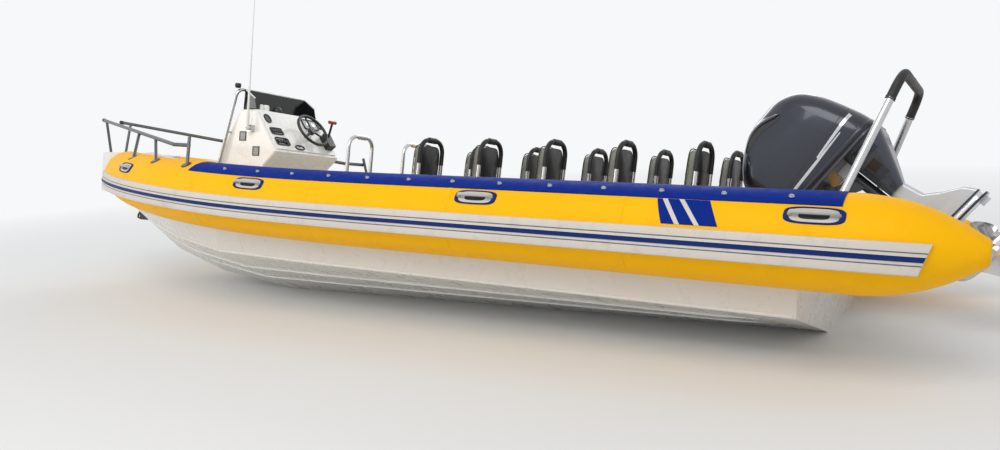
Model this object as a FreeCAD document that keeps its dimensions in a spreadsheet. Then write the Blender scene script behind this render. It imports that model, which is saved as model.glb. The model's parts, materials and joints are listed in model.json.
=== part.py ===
import FreeCAD, Part
import math
import os

# Inflatable RIB boat with ten jockey seats, a helm console and one tilted outboard engine.
# Deck frame, in millimetres: X forward from the transom's aft face, Y to port, Z up.
# Z = 0 is the deepest point of the keel; the deck and the tubes are level in this frame.
# At the end every sub-part gets one common placement that lays the boat on its keel and
# its starboard chine, as it comes to rest on a floor.

doc = FreeCAD.newDocument("RibBoat")
sheet = doc.addObject("Spreadsheet::Sheet", "Sizes")
V = FreeCAD.Vector

# Driving sizes: name, value in millimetres or degrees
SIZES = [
    ("keel_aft_height", 190), ("keel_low_position", 4900), ("chine_half_width", 950),
    ("chine_height", 345), ("chine_flat_width", 70), ("topside_half_width", 985),
    ("topside_height", 620), ("hull_straight_length", 3900), ("hull_bow_length", 3450),
    ("sole_height", 565), ("cockpit_half_width", 785), ("cockpit_length", 5640),
    ("bulwark_height", 900), ("transom_thickness", 60), ("engine_mount_height", 1050),
    ("engine_mount_half_width", 330),
    ("tube_radius", 275), ("tube_offset", 1100), ("tube_centre_height", 800),
    ("tube_arc_setback", 368), ("tube_overhang", 25), ("bow_tube_rise", 220),
    ("bow_tube_taper", 50), ("tube_stern_length", 350), ("stern_cone_length", 590),
    ("stern_tip_radius", 72),
    ("strake_height", 190), ("strake_thickness", 26), ("strake_drop", 55), ("strake_stern_length", 500),
    ("strip_thickness", 6), ("strip_outer_angle", 46), ("strip_inner_angle", 16),
    ("strip_stern_length", 270), ("strip_bow_setback", 850),
    ("handle_length", 250), ("handle_width", 100), ("handle_angle", 60),
    ("bow_deck_height", 1150), ("bow_deck_inset", 60), ("bow_deck_overhang", 40),
    ("coaming_height", 50), ("coaming_inset", 45), ("coaming_width", 45), ("coaming_length", 250),
    ("nose_half_width", 150), ("nose_thickness", 126), ("nose_low", 800), ("nose_top", 1232), ("nose_rake", 40),
    ("hatch_length", 520), ("hatch_width", 460), ("hatch_thickness", 18), ("hatch_setback", 320),
    ("hatch_gap", 6), ("locker_depth", 240), ("locker_wall", 30),
    ("bow_rail_radius", 17), ("bow_rail_length", 2470), ("bow_rail_overhang", 390), ("bow_rail_level", 230),
    ("bow_rail_aft_offset", 1100), ("bow_rail_front_offset", 105), ("bow_rail_top", 1585),
    ("bow_rail_aft_height", 1257), ("bow_rail_foot_angle", 30),
    ("bow_eye_setback", 165), ("bow_eye_height", 553), ("bow_eye_hole_radius", 15), ("bow_eye_thickness", 14),
    ("console_half_width", 420), ("console_wall", 8), ("console_top", 1650),
    ("console_top_front", 5230), ("console_top_aft", 5030), ("console_face_aft", 4750),
    ("console_face_low", 1270), ("console_foot_front", 5610), ("console_foot_aft", 4905),
    ("console_overhang_low", 1120),
    ("screen_thickness", 6), ("screen_height", 190), ("screen_rake", 3), ("screen_setback", 8),
    ("rail_tube_radius", 16), ("console_rail_top", 1835), ("console_rail_gap", 36),
    ("wheel_radius", 180), ("wheel_rim", 14), ("wheel_standoff", 125), ("wheel_offset", 60),
    ("throttle_offset", 290), ("throttle_size", 90),
    ("antenna_length", 1800), ("antenna_radius", 11), ("antenna_tip_radius", 4),
    ("antenna_base_height", 1470), ("antenna_position", 5060), ("antenna_pin_radius", 6),
    ("hoop_radius", 16), ("hoop_grip_radius", 22), ("front_hoop_position", 3821),
    ("front_hoop_height", 1405), ("seat_pitch", 566), ("first_seat_position", 3092),
    ("seat_column_offset", 373), ("seat_width", 340), ("seat_length", 400),
    ("seat_base_height", 400), ("seat_cushion_height", 105), ("seat_back_height", 300),
    ("seat_back_thickness", 80), ("seat_back_lean", 8), ("seat_hoop_height", 1385), ("seat_hoop_width", 300), ("seat_hoop_bend", 100),
    ("seat_rows", 5), ("soft_gap", 0.3),
    ("frame_tube_radius", 25), ("frame_foot_height", 860), ("frame_top_height", 1830),
    ("frame_rake_run", 350), ("frame_foot_half_width", 640), ("frame_top_half_width", 450),
    ("tilt_axis_position", 30), ("tilt_axis_height", 1125), ("tilt_rest_angle", 52),
    ("tilt_tube_radius", 16), ("running_clearance", 0.5), ("tilt_boss_radius", 30),
    ("clamp_plate_inner", 88), ("clamp_plate_thickness", 16),
    ("swivel_offset", 160), ("swivel_tube_radius", 36), ("swivel_top", 20), ("swivel_bottom", 425),
    ("steer_shaft_radius", 20), ("cowl_wall", 6), ("cowl_bottom", 55), ("cowl_pan_thickness", 13),
    ("plate_depth", 690), ("plate_half_width", 130),
    ("propeller_radius", 195), ("propeller_hub_radius", 50), ("propeller_depth", 935),
    ("propeller_station", 390), ("propeller_shaft_radius", 14),
    ("ram_radius", 24), ("ram_rod_radius", 11), ("ram_pin_radius", 9), ("ram_eye_radius", 18),
    ("ram_foot_drop", 330), ("ram_foot_back", 72), ("ram_head_drop", 90), ("ram_head_back", 70),
    ("ram_body_length", 192), ("ram_rod_length", 165),
]
for row, (alias, value) in enumerate(SIZES, start=1):
    sheet.set("A%d" % row, alias)
    sheet.set("B%d" % row, str(value))
    sheet.setAlias("B%d" % row, alias)
doc.recompute()


def size(alias):
    """A driving size, read from the sheet."""
    return float(sheet.get(alias))


PARTS = []


def keep(label, obj, place=None):
    """Registers an object as a sub-part and remembers its place in the deck frame."""
    obj.Label = label
    PARTS.append((label, obj, place or FreeCAD.Placement()))
    return obj


def feature(label, shape, place=None):
    """A sub-part whose shape is made with Part's own functions."""
    obj = doc.addObject("Part::Feature", label)
    obj.Shape = shape
    return keep(label, obj, place)


def primitive(kind, name, sizes, base):
    """A Part primitive whose sizes and base point are bound to the sheet."""
    obj = doc.addObject(kind, name)
    for prop, expression in sizes.items():
        obj.setExpression(prop, expression)
    for axis, expression in zip("xyz", base):
        obj.setExpression("Placement.Base." + axis, expression)
    return obj


def joined(name, kind, objects):
    """A Part::MultiFuse or Part::Compound of other objects."""
    obj = doc.addObject(kind, name)
    if kind == "Part::Compound":
        obj.Links = objects
    else:
        obj.Shapes = objects
    return obj


def cut(name, base, tool):
    obj = doc.addObject("Part::Cut", name)
    obj.Base = base
    obj.Tool = tool
    return obj


def compound(shapes):
    return Part.makeCompound([s for shape in shapes for s in (shape.Solids or [shape])])


def prism_y(points, half_width, y_mid=0.0):
    """Extrudes an XZ outline along Y, centred on y_mid."""
    wire = Part.makePolygon([V(x, y_mid - half_width, z) for x, z in points + points[:1]])
    return Part.Face(wire).extrude(V(0, 2 * half_width, 0))


def prism_z(points, low, high):
    """Extrudes an XY outline from low to high."""
    wire = Part.makePolygon([V(x, y, low) for x, y in points + points[:1]])
    return Part.Face(wire).extrude(V(0, 0, high - low))


def mirrored(shape):
    return shape.mirror(V(0, 0, 0), V(0, 1, 0))


def bent_path(points, bend):
    """A wire of straight runs joined by tangent arcs."""
    pts = [V(*p) for p in points]
    edges = []
    start = pts[0]
    for before, corner, after in zip(pts, pts[1:], pts[2:]):
        into = (corner - before).normalize()
        out = (after - corner).normalize()
        turn = into.getAngle(out)
        if turn < 1e-4:
            continue
        reach = bend * math.tan(turn / 2)
        first = corner - into * reach
        last = corner + out * reach
        side = (out - into).normalize()
        middle = corner + side * (bend / math.cos(turn / 2) - bend)
        edges.append(Part.LineSegment(start, first).toShape())
        edges.append(Part.Arc(first, middle, last).toShape())
        start = last
    edges.append(Part.LineSegment(start, pts[-1]).toShape())
    return Part.Wire(edges)


def rod(points, radius, bend=60):
    """A round bar along bent_path."""
    path = bent_path(points, bend)
    direction = (V(*points[1]) - V(*points[0])).normalize()
    ring = Part.Wire(Part.makeCircle(radius, V(*points[0]), direction))
    return path.makePipeShell([ring], True, False)


def bar(start, end, radius):
    a = V(*start)
    b = V(*end)
    return Part.makeCylinder(radius, (b - a).Length, a, b - a)


def rounded_section(x_front, x_aft, half_width, corner, z):
    """A rounded rectangle of lines and arcs in a level plane."""
    c = corner
    w = half_width
    pts = [V(x_front, -w + c, z), V(x_front, w - c, z), V(x_front - c, w, z), V(x_aft + c, w, z),
           V(x_aft, w - c, z), V(x_aft, -w + c, z), V(x_aft + c, -w, z), V(x_front - c, -w, z)]
    d = c * (1 - math.sqrt(0.5))
    mids = [V(x_front - d, w - d, z), V(x_aft + d, w - d, z), V(x_aft + d, -w + d, z),
            V(x_front - d, -w + d, z)]
    edges = [
        Part.LineSegment(pts[0], pts[1]).toShape(), Part.Arc(pts[1], mids[0], pts[2]).toShape(),
        Part.LineSegment(pts[2], pts[3]).toShape(), Part.Arc(pts[3], mids[1], pts[4]).toShape(),
        Part.LineSegment(pts[4], pts[5]).toShape(), Part.Arc(pts[5], mids[2], pts[6]).toShape(),
        Part.LineSegment(pts[6], pts[7]).toShape(), Part.Arc(pts[7], mids[3], pts[0]).toShape(),
    ]
    return Part.Wire(edges)


# Air tubes: a straight run, a bow arc that rises and tapers, and a stern cone.
tube_radius = size("tube_radius")
tube_offset = size("tube_offset")
tube_height = size("tube_centre_height")
stem_x = size("hull_straight_length") + size("hull_bow_length")
tube_straight = size("hull_straight_length") + size("tube_arc_setback")
arc_run = stem_x + size("tube_overhang") - tube_straight
bow_radius = (arc_run ** 2 + tube_offset ** 2) / (2 * tube_offset)
meet_angle = math.degrees(math.acos(1 - tube_offset / bow_radius))
past_angle = meet_angle + 3.5

# Bow stations: share of the arc, share of the rise, share of the taper
BOW_STATIONS = [(0.0, 0.08, 0.02), (0.26, 0.28, 0.10), (0.52, 0.56, 0.26), (0.78, 0.86, 0.60), (1.0, 1.0, 1.0)]


def bow_frame(share, rise, taper):
    """Centre, outward direction and radius of the tube at a bow station."""
    angle = math.radians(past_angle * share)
    x = tube_straight + bow_radius * math.sin(angle)
    y = tube_offset - bow_radius * (1 - math.cos(angle))
    centre = V(x, y, tube_height + size("bow_tube_rise") * rise)
    return centre, V(math.sin(angle), math.cos(angle), 0), tube_radius - size("bow_tube_taper") * taper


def straight_frame(x):
    return V(x, tube_offset, tube_height), V(0, 1, 0), tube_radius


def ring(frame):
    """A circle round the tube's path, split where it faces outboard."""
    centre, out, radius = frame
    along = out.cross(V(0, 0, 1))
    return Part.Wire(Part.Edge(Part.Circle(centre, along, radius)))


# Straight stations of the tube's path: where the tube starts to rise
RISE_START = 0.68
low_frames = [straight_frame(tube_straight * RISE_START)]
bow_frames = low_frames + [bow_frame(*row) for row in BOW_STATIONS]

# Stern cone stations: share of its length, share of the way from full to tip radius
CONE_STATIONS = [(0.0, 0.0), (0.32, 0.12), (0.64, 0.42), (0.88, 0.78), (1.0, 1.0)]
cone_start = -size("tube_stern_length")


def cone_frame(share, drop):
    centre = V(cone_start - size("stern_cone_length") * share, tube_offset, tube_height)
    return centre, V(0, 1, 0), tube_radius - (tube_radius - size("stern_tip_radius")) * drop


straight_end = tube_straight * RISE_START
straight_tube = Part.makeCylinder(
    tube_radius, straight_end - cone_start, V(cone_start, tube_offset, tube_height), V(1, 0, 0))
bow_tube = Part.makeLoft([ring(f) for f in bow_frames], True, False)
cone_tube = Part.makeLoft([ring(cone_frame(*row)) for row in CONE_STATIONS], True, False)
centre_box = Part.makeBox(12000, 3000, 4000, V(-2000, 0, -500))
bow_tube = bow_tube.common(centre_box)
tube_port = straight_tube.fuse(cone_tube).fuse(bow_tube)
tube_both = tube_port.fuse(mirrored(tube_port))
feature("tube_port", tube_port)
feature("tube_starboard", mirrored(tube_port))


# Rubbing strakes along the outer side, with a raised middle rib
def strake_section(frame):
    centre, out, radius = frame
    half = size("strake_height") / 2
    proud = radius + size("strake_thickness")
    mid = centre - V(0, 0, size("strake_drop"))
    outline = [(radius - 60, half), (proud - 8, half), (proud, half * 0.32), (proud, -half * 0.32),
               (proud - 8, -half), (radius - 60, -half)]
    pts = [mid + out * reach + V(0, 0, up) for reach, up in outline]
    return Part.makePolygon(pts + pts[:1])


strake_start = straight_frame(-size("strake_stern_length"))
strake = Part.makeLoft([strake_section(strake_start), strake_section(low_frames[0])], True, True)
strake_bow = Part.makeLoft([strake_section(f) for f in bow_frames], True, False)
nose_clear = size("nose_half_width") + 20
strake_side = Part.makeBox(12000, 3000, 4000, V(-2000, nose_clear, -500))
strake_port = strake.fuse(strake_bow).common(strake_side).cut(tube_port)
feature("rubbing_strake_port", strake_port)
feature("rubbing_strake_starboard", mirrored(strake_port))


# Wear strips over the crown of each tube, from the stern to the bow deck
def strip_section(frame):
    centre, out, radius = frame
    outer = math.radians(size("strip_outer_angle"))
    inner = -math.radians(size("strip_inner_angle"))
    middle = (outer + inner) / 2
    high = radius + size("strip_thickness")
    low = radius - 30

    def at(angle, reach):
        return centre + out * (reach * math.sin(angle)) + V(0, 0, reach * math.cos(angle))

    edges = [
        Part.Arc(at(inner, high), at(middle, high), at(outer, high)).toShape(),
        Part.LineSegment(at(outer, high), at(outer, low)).toShape(),
        Part.Arc(at(outer, low), at(middle, low), at(inner, low)).toShape(),
        Part.LineSegment(at(inner, low), at(inner, high)).toShape(),
    ]
    return Part.Wire(edges)


strip_start = straight_frame(-size("strip_stern_length"))
strip = Part.makeLoft([strip_section(strip_start), strip_section(low_frames[0])], True, True)
strip_bow = Part.makeLoft([strip_section(f) for f in bow_frames], True, False)
cockpit_end = size("transom_thickness") + size("cockpit_length")
strip_range = Part.makeBox(cockpit_end - size("strip_bow_setback") + 2000, 3000, 4000, V(-2000, 0, -500))
strip_port = strip.fuse(strip_bow).common(strip_range).cut(tube_port)
feature("top_strip_port", strip_port)
feature("top_strip_starboard", mirrored(strip_port))

# Hull stations: share of the bow length, share of the keel's rise to the stem head,
# share of the chine's half width, chine height above its aft height, share of the topside
# half width, topside height above its aft height
stem_height = tube_height - 110
HULL_STATIONS = [
    (0.0, None, 1.0, 0, 1.0, 0),
    (0.29, 0.0, 0.916, 7, 0.964, 22),
    (0.55, 0.122, 0.63, 72, 0.79, 70),
    (0.753, 0.37, 0.345, 160, 0.548, 128),
    (0.9, 0.74, 0.094, 235, 0.305, 162),
    (1.0, 1.0, 0.016, 355, 0.092, 178),
]
keel_slope = size("keel_aft_height") / size("keel_low_position")
chine_y = size("chine_half_width")
chine_z = size("chine_height")
top_y = size("topside_half_width")
top_z = size("topside_height")
chine_flat = size("chine_flat_width")


def hull_section(x, keel_z, chine_share, chine_up, top_share, top_up):
    """Keel, chine, chine flat and topside of both sides, as one closed outline."""
    wide = chine_y * chine_share
    flat = wide - chine_flat * chine_share
    high = chine_z + chine_up
    flat_z = keel_z + (high - keel_z) * flat / wide
    side = [(wide, high), (wide + 6 * chine_share, high + 26), (top_y * top_share, top_z + top_up)]
    pts = [V(x, 0, keel_z), V(x, flat, flat_z)] + [V(x, y, z) for y, z in side]
    pts += [V(x, -y, z) for y, z in reversed(side)] + [V(x, -flat, flat_z)]
    return Part.makePolygon(pts + pts[:1])


def keel_at(x):
    return max(size("keel_aft_height") - keel_slope * x, 0.0)


hull_straight = size("hull_straight_length")
hull_bow = size("hull_bow_length")
bow_sections = []
for share, rise, chine_share, chine_up, top_share, top_up in HULL_STATIONS:
    station = hull_straight + hull_bow * share
    keel_z = keel_at(station) if rise is None else stem_height * rise
    bow_sections.append(hull_section(station, keel_z, chine_share, chine_up, top_share, top_up))
aft_section = hull_section(0, size("keel_aft_height"), 1.0, 0, 1.0, 0)
hull = Part.makeLoft([aft_section, bow_sections[0]], True, True)
hull = hull.fuse(Part.makeLoft(bow_sections, True, True))

# The cockpit's plan follows the tubes: straight, then an arc of the same centre as the bow arc
cockpit_half = size("cockpit_half_width")
arc_centre_y = tube_offset - bow_radius


def plan_region(inset, x_start, x_end, low, high):
    """The deck's plan inside the tubes' centreline, drawn in by inset."""
    radius = bow_radius - inset
    half = tube_offset - inset
    reach = tube_straight + math.sqrt(radius ** 2 - arc_centre_y ** 2)
    x_end = min(x_end, reach - 2)
    angle = math.asin(min((x_end - tube_straight) / radius, 1.0))
    end_y = arc_centre_y + radius * math.cos(angle)
    mid = angle / 2
    mid_point = (tube_straight + radius * math.sin(mid), arc_centre_y + radius * math.cos(mid))
    edges = [
        Part.LineSegment(V(x_start, -half, low), V(x_start, half, low)).toShape(),
        Part.LineSegment(V(x_start, half, low), V(tube_straight, half, low)).toShape(),
        Part.Arc(V(tube_straight, half, low), V(mid_point[0], mid_point[1], low),
                 V(x_end, end_y, low)).toShape(),
        Part.LineSegment(V(x_end, end_y, low), V(x_end, -end_y, low)).toShape(),
        Part.Arc(V(x_end, -end_y, low), V(mid_point[0], -mid_point[1], low),
                 V(tube_straight, -half, low)).toShape(),
        Part.LineSegment(V(tube_straight, -half, low), V(x_start, -half, low)).toShape(),
    ]
    return Part.Face(Part.Wire(edges)).extrude(V(0, 0, high - low))


cockpit_inset = tube_offset - cockpit_half
transom_thickness = size("transom_thickness")
sole = size("sole_height")
cockpit = plan_region(cockpit_inset, transom_thickness, cockpit_end, sole, sole + 1500)
hull = hull.cut(cockpit).cut(tube_both)
feature("hull", hull)

# Bulwarks between the cockpit and the tubes
bulwark_block = plan_region(60, transom_thickness, cockpit_end, top_z, size("bulwark_height"))
bulwarks = bulwark_block.cut(cockpit).cut(tube_both).cut(hull)
bulwark_port = max(bulwarks.common(centre_box).Solids, key=lambda s: s.Volume)
feature("bulwark_port", bulwark_port)
feature("bulwark_starboard", mirrored(bulwark_port))

# Transom above the hull, raised in the middle for the engine
mount_half = size("engine_mount_half_width")
transom_low = Part.makeBox(transom_thickness, 2 * tube_offset, size("bulwark_height") - top_z,
                           V(0, -tube_offset, top_z))
raised = [(-mount_half - 90, top_z), (mount_half + 90, top_z), (mount_half, size("engine_mount_height")),
          (-mount_half, size("engine_mount_height"))]
raised_wire = Part.makePolygon([V(0, y, z) for y, z in raised + raised[:1]])
raised_block = Part.Face(raised_wire).extrude(V(transom_thickness, 0, 0))
transom = transom_low.fuse(raised_block).cut(tube_both)
transom = max(transom.Solids, key=lambda s: s.Volume)
feature("transom", transom)

# Bow deck between the tubes, resting on their crowns, with a locker under its hatch
deck_top = size("bow_deck_height")
deck_end = stem_x + size("bow_deck_overhang")
bow_deck = plan_region(size("bow_deck_inset"), 0, deck_end, stem_height - 130, deck_top)
deck_range = Part.makeBox(deck_end - cockpit_end, 3000, 2000, V(cockpit_end, -1500, 0))
coaming_top = deck_top + size("coaming_height")
coaming_in = size("coaming_inset")
coaming_aft = cockpit_end - size("coaming_length")
coaming = plan_region(coaming_in, 0, deck_end, sole, coaming_top)
coaming = coaming.cut(plan_region(coaming_in + size("coaming_width"), -100, deck_end + 100, sole - 100, coaming_top + 100))
slope = [(coaming_aft - 50, deck_top - 25), (coaming_aft, deck_top - 20), (coaming_aft + 650, coaming_top),
         (coaming_aft + 650, coaming_top + 100), (coaming_aft - 50, coaming_top + 100)]
coaming_range = Part.makeBox(deck_end - coaming_aft, 3000, coaming_top - deck_top + 60,
                             V(coaming_aft, -1500, deck_top - 60))
coaming = coaming.common(coaming_range).cut(prism_y(slope, 1500))
bow_deck = bow_deck.common(deck_range).fuse(coaming).cut(tube_both).cut(hull)
hatch_start = cockpit_end + size("hatch_setback")
hatch_length = size("hatch_length")
hatch_width = size("hatch_width")
hatch_thickness = size("hatch_thickness")
hatch_gap = size("hatch_gap")
rebate = Part.makeBox(hatch_length + 2 * hatch_gap, hatch_width + 2 * hatch_gap, hatch_thickness + 50,
                      V(hatch_start - hatch_gap, -hatch_width / 2 - hatch_gap, deck_top - hatch_thickness))
wall = size("locker_wall")
locker = Part.makeBox(hatch_length - 2 * wall, hatch_width - 2 * wall, size("locker_depth"),
                      V(hatch_start + wall, -hatch_width / 2 + wall, deck_top - size("locker_depth")))
bow_deck = bow_deck.cut(rebate.fuse(locker))
bow_deck = max(bow_deck.Solids, key=lambda s: s.Volume)
feature("bow_deck", bow_deck)

# Hatch lid, with a low handle at its aft edge
HATCH_START = "Sizes.transom_thickness + Sizes.cockpit_length + Sizes.hatch_setback"
lid = primitive("Part::Box", "HatchPanel",
                {"Length": "Sizes.hatch_length", "Width": "Sizes.hatch_width",
                 "Height": "Sizes.hatch_thickness"},
                (HATCH_START, "-Sizes.hatch_width / 2",
                 "Sizes.bow_deck_height - Sizes.hatch_thickness"))
lid_grip = primitive("Part::Box", "HatchGrip",
                     {"Length": "28 mm", "Width": "120 mm", "Height": "14 mm"},
                     (HATCH_START + " + 40", "-60", "Sizes.bow_deck_height"))
keep("bow_hatch_lid", joined("HatchLid", "Part::MultiFuse", [lid, lid_grip]))

# Nose cap over the tip where the tubes meet
nose_half = size("nose_half_width")
tip_x = tube_port.optimalBoundingBox(False, False).XMax
nose_front = tip_x + size("nose_thickness")
nose_low = size("nose_low")
nose_top = size("nose_top")
nose_points = [V(deck_end - 90, -nose_half, nose_low), V(deck_end - 90, nose_half, nose_low)]
nose_edges = [
    Part.LineSegment(nose_points[0], nose_points[1]).toShape(),
    Part.LineSegment(nose_points[1], V(nose_front - 300, nose_half, nose_low)).toShape(),
    Part.LineSegment(V(nose_front - 300, nose_half, nose_low), V(nose_front - 34, 42, nose_low)).toShape(),
    Part.Arc(V(nose_front - 34, 42, nose_low), V(nose_front, 0, nose_low),
             V(nose_front - 34, -42, nose_low)).toShape(),
    Part.LineSegment(V(nose_front - 34, -42, nose_low), V(nose_front - 300, -nose_half, nose_low)).toShape(),
    Part.LineSegment(V(nose_front - 300, -nose_half, nose_low), nose_points[0]).toShape(),
]
nose = Part.Face(Part.Wire(nose_edges)).extrude(V(0, 0, nose_top - nose_low))
nose_wedge = [(nose_front, nose_top), (nose_front + 50, nose_top), (nose_front + 50, nose_low - 10),
              (nose_front - size("nose_rake"), nose_low - 10)]
nose = nose.cut(tube_both).cut(prism_y(nose_wedge, 2 * nose_half))
nose = max(nose.Solids, key=lambda s: s.Volume).cut(bow_deck)
nose = max(nose.Solids, key=lambda s: s.Volume)
feature("nose_cap", nose)

# Bow rails: a bar over each tube, rising forward from a short level end, on three posts with
# pads on the tube's shoulder and one on the nose cap
rail_r = size("bow_rail_radius")
rail_front = stem_x + size("bow_rail_overhang")
rail_aft = rail_front - size("bow_rail_length")
aft_y = size("bow_rail_aft_offset")
front_y = size("bow_rail_front_offset")
rail_top = size("bow_rail_top")
rail_low = size("bow_rail_aft_height")
foot_angle = math.radians(size("bow_rail_foot_angle"))


def on_rail(x):
    share = (x - rail_aft) / (rail_front - rail_aft)
    return V(x, aft_y + (front_y - aft_y) * share, rail_low + (rail_top - rail_low) * share)


def tube_frame(x):
    """The tube's centre, outward direction and radius at a station along the boat."""
    if x < tube_straight:
        return straight_frame(x)
    share = math.degrees(math.asin((x - tube_straight) / bow_radius)) / past_angle
    return bow_frame(share, share ** 1.05, share ** 2)


def rail_post(foot_x, top):
    """A post with a round pad on the tube's shoulder, and the pad's own part of the post."""
    centre, out, radius = tube_frame(foot_x)
    normal = out * math.sin(foot_angle) + V(0, 0, math.cos(foot_angle))
    foot = centre + normal * (radius - 10)
    pad = Part.makeCylinder(44, 22, foot, normal)
    return pad.fuse(bar(foot, top, rail_r - 3))


def bow_rail():
    level_end = on_rail(rail_aft) + V(-size("bow_rail_level"), 30, -7)
    shape = bar(on_rail(rail_aft), on_rail(rail_front), rail_r)
    shape = shape.fuse(bar(level_end, on_rail(rail_aft), rail_r)).fuse(Part.makeSphere(rail_r, on_rail(rail_aft)))
    shape = shape.fuse(Part.makeSphere(rail_r + 3, on_rail(rail_front)))
    shape = shape.fuse(rail_post(rail_aft - 300, level_end + V(0, 0, 70)))
    shape = shape.fuse(rail_post(rail_aft + 240, on_rail(rail_aft + 540)))
    shape = shape.fuse(rail_post(rail_aft + 820, on_rail(rail_aft + 1070)))
    top = on_rail(rail_front - 110)
    shape = shape.fuse(bar(V(top.x - 20, min(top.y, 90), nose_top), top, rail_r - 3))
    shape = shape.cut(tube_port).cut(bow_deck).cut(nose)
    return max(shape.Solids, key=lambda s: s.Volume)


rail_port = bow_rail()
feature("bow_rails", compound([rail_port, mirrored(rail_port)]))

# Mooring cleats: two on the bow deck
CLEATS = [(hatch_start + 230, side * (hatch_width / 2 + 100)) for side in (1, -1)]


def cleat(x, y, z):
    shape = prism_z([(x - 45, y - 20), (x + 45, y - 20), (x + 45, y + 20), (x - 45, y + 20)], z, z + 8)
    for post in (-22, 22):
        shape = shape.fuse(Part.makeCylinder(9, 32, V(x + post, y, z + 6)))
    return shape.fuse(bar((x - 85, y, z + 42), (x + 85, y, z + 42), 10))


feature("mooring_cleats", compound([cleat(x, y, deck_top) for x, y in CLEATS]))

# Bow eye: a plate through the stem with a hole for the trailer's winch hook
eye_x = stem_x - size("bow_eye_setback")
eye_r = size("bow_eye_hole_radius")
eye_half = size("bow_eye_thickness") / 2
eye_z = size("bow_eye_height") - 8
eye_plate = prism_y([(eye_x - 190, eye_z + 95), (eye_x - 140, eye_z - 25), (eye_x - 30, eye_z - 26),
                     (eye_x + 28, eye_z - 10), (eye_x + 28, eye_z + 26), (eye_x - 20, eye_z + 85)], eye_half)
eye_hole = Part.makeCylinder(eye_r, 4 * eye_half, V(eye_x, -2 * eye_half, eye_z + 8), V(0, 1, 0))
bow_eye = eye_plate.cut(eye_hole).cut(hull)
bow_eye = max(bow_eye.Solids, key=lambda s: s.Volume)
feature("bow_eye", bow_eye)

# Handles on the tubes' outer shoulders: webbing pads with a stiff grip
HANDLE_STATIONS = [stem_x - 1400, tube_straight - 193, 1977, -139]
handle_angle = math.radians(size("handle_angle"))


def tube_handle(x):
    centre, out, radius = tube_frame(x)
    along = V(0, 0, 1).cross(out) * -1
    normal = out * math.sin(handle_angle) + V(0, 0, math.cos(handle_angle))
    half = size("handle_length") / 2
    base = centre + normal * (radius - 4)
    wide = size("handle_width") / 2
    across = normal.cross(along)
    parts = []
    for end in (-1, 1):
        mid = base + along * (end * half)
        corners = [mid + along * (a * 30) + across * (c * wide) for a, c in ((-1, -1), (1, -1), (1, 1), (-1, 1))]
        parts.append(Part.Face(Part.makePolygon(corners + corners[:1])).extrude(normal * 14))
    start = base - along * half
    stop = base + along * half
    lift = normal * 38
    grip = Part.makeCylinder(13, 2 * half + 20, start + lift - along * 10, along)
    for foot in (start, stop):
        parts.append(Part.makeCylinder(11, 38, foot, normal))
    shape = grip
    for piece in parts:
        shape = shape.fuse(piece)
    shape = shape.cut(tube_port)
    return max(shape.Solids, key=lambda s: s.Volume)


handles = [tube_handle(x) for x in HANDLE_STATIONS]
feature("tube_handles", compound(handles + [mirrored(s) for s in handles]))

# Console: a hollow moulding with a sloped front, a raked dash and a recess below it
half = size("console_half_width")
top = size("console_top")
top_front = size("console_top_front")
top_aft = size("console_top_aft")
face_aft = size("console_face_aft")
face_low = size("console_face_low")
foot_front = size("console_foot_front")
foot_aft = size("console_foot_aft")
under = size("console_overhang_low")
CONSOLE_OUTLINE = [
    (foot_front, sole), (foot_front - 20, 1050), (top_front + 40, top - 60), (top_front, top),
    (top_aft, top), (face_aft, face_low), (face_aft + 30, face_low - 40), (foot_aft, under), (foot_aft, sole),
]


def inset_outline(points, gap):
    """Moves every side of a clockwise outline inwards by gap."""
    lines = []
    for (x0, z0), (x1, z1) in zip(points, points[1:] + points[:1]):
        length = math.hypot(x1 - x0, z1 - z0)
        nx, nz = -(z1 - z0) / length, (x1 - x0) / length
        lines.append((x0 + nx * gap, z0 + nz * gap, x1 - x0, z1 - z0))
    result = []
    for before, after in zip(lines[-1:] + lines[:-1], lines):
        x0, z0, dx, dz = before
        x1, z1, ex, ez = after
        cross = dx * ez - dz * ex
        share = ((x1 - x0) * ez - (z1 - z0) * ex) / cross
        result.append((x0 + dx * share, z0 + dz * share))
    return result


def round_y_edges(shape, radius, chosen):
    edges = [e for e in shape.Edges if chosen(e)]
    return shape.makeFillet(radius, edges)


console = prism_y(CONSOLE_OUTLINE, half)
console = round_y_edges(console, 22, lambda e: abs(e.Vertexes[0].Y) > half - 1
                        and abs(e.Vertexes[-1].Y - e.Vertexes[0].Y) < 1
                        and min(v.Z for v in e.Vertexes) > sole + 30)
console_wall = size("console_wall")
console_inside = prism_y(inset_outline(CONSOLE_OUTLINE, console_wall), half - console_wall)
console_room = console_inside
console = console.cut(console_inside)
console = console.cut(Part.makeBox(foot_front - foot_aft - 2 * console_wall, 2 * (half - console_wall), 40,
                                   V(foot_aft + console_wall, -half + console_wall, sole - 10)))
feature("console_shell", console)

# Dash: the raked instrument face with its screens, gauges and switches as raised plates
dash_dir = V(top_aft - face_aft, 0, top - face_low).normalize()
dash_out = V(-dash_dir.z, 0, dash_dir.x)
dash_low = V(face_aft, 0, face_low)


def dash_plate(up, y, height, width, thick, lift=0.0):
    """A plate on the dash: centre up the slope, centre across, height, width, thickness."""
    mid = dash_low + dash_dir * up + V(0, y, 0) + dash_out * lift
    corners = [mid + dash_dir * (a * height / 2) + V(0, c * width / 2, 0)
               for a, c in ((-1, -1), (1, -1), (1, 1), (-1, 1))]
    return Part.Face(Part.makePolygon(corners + corners[:1])).extrude(dash_out * thick)


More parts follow.
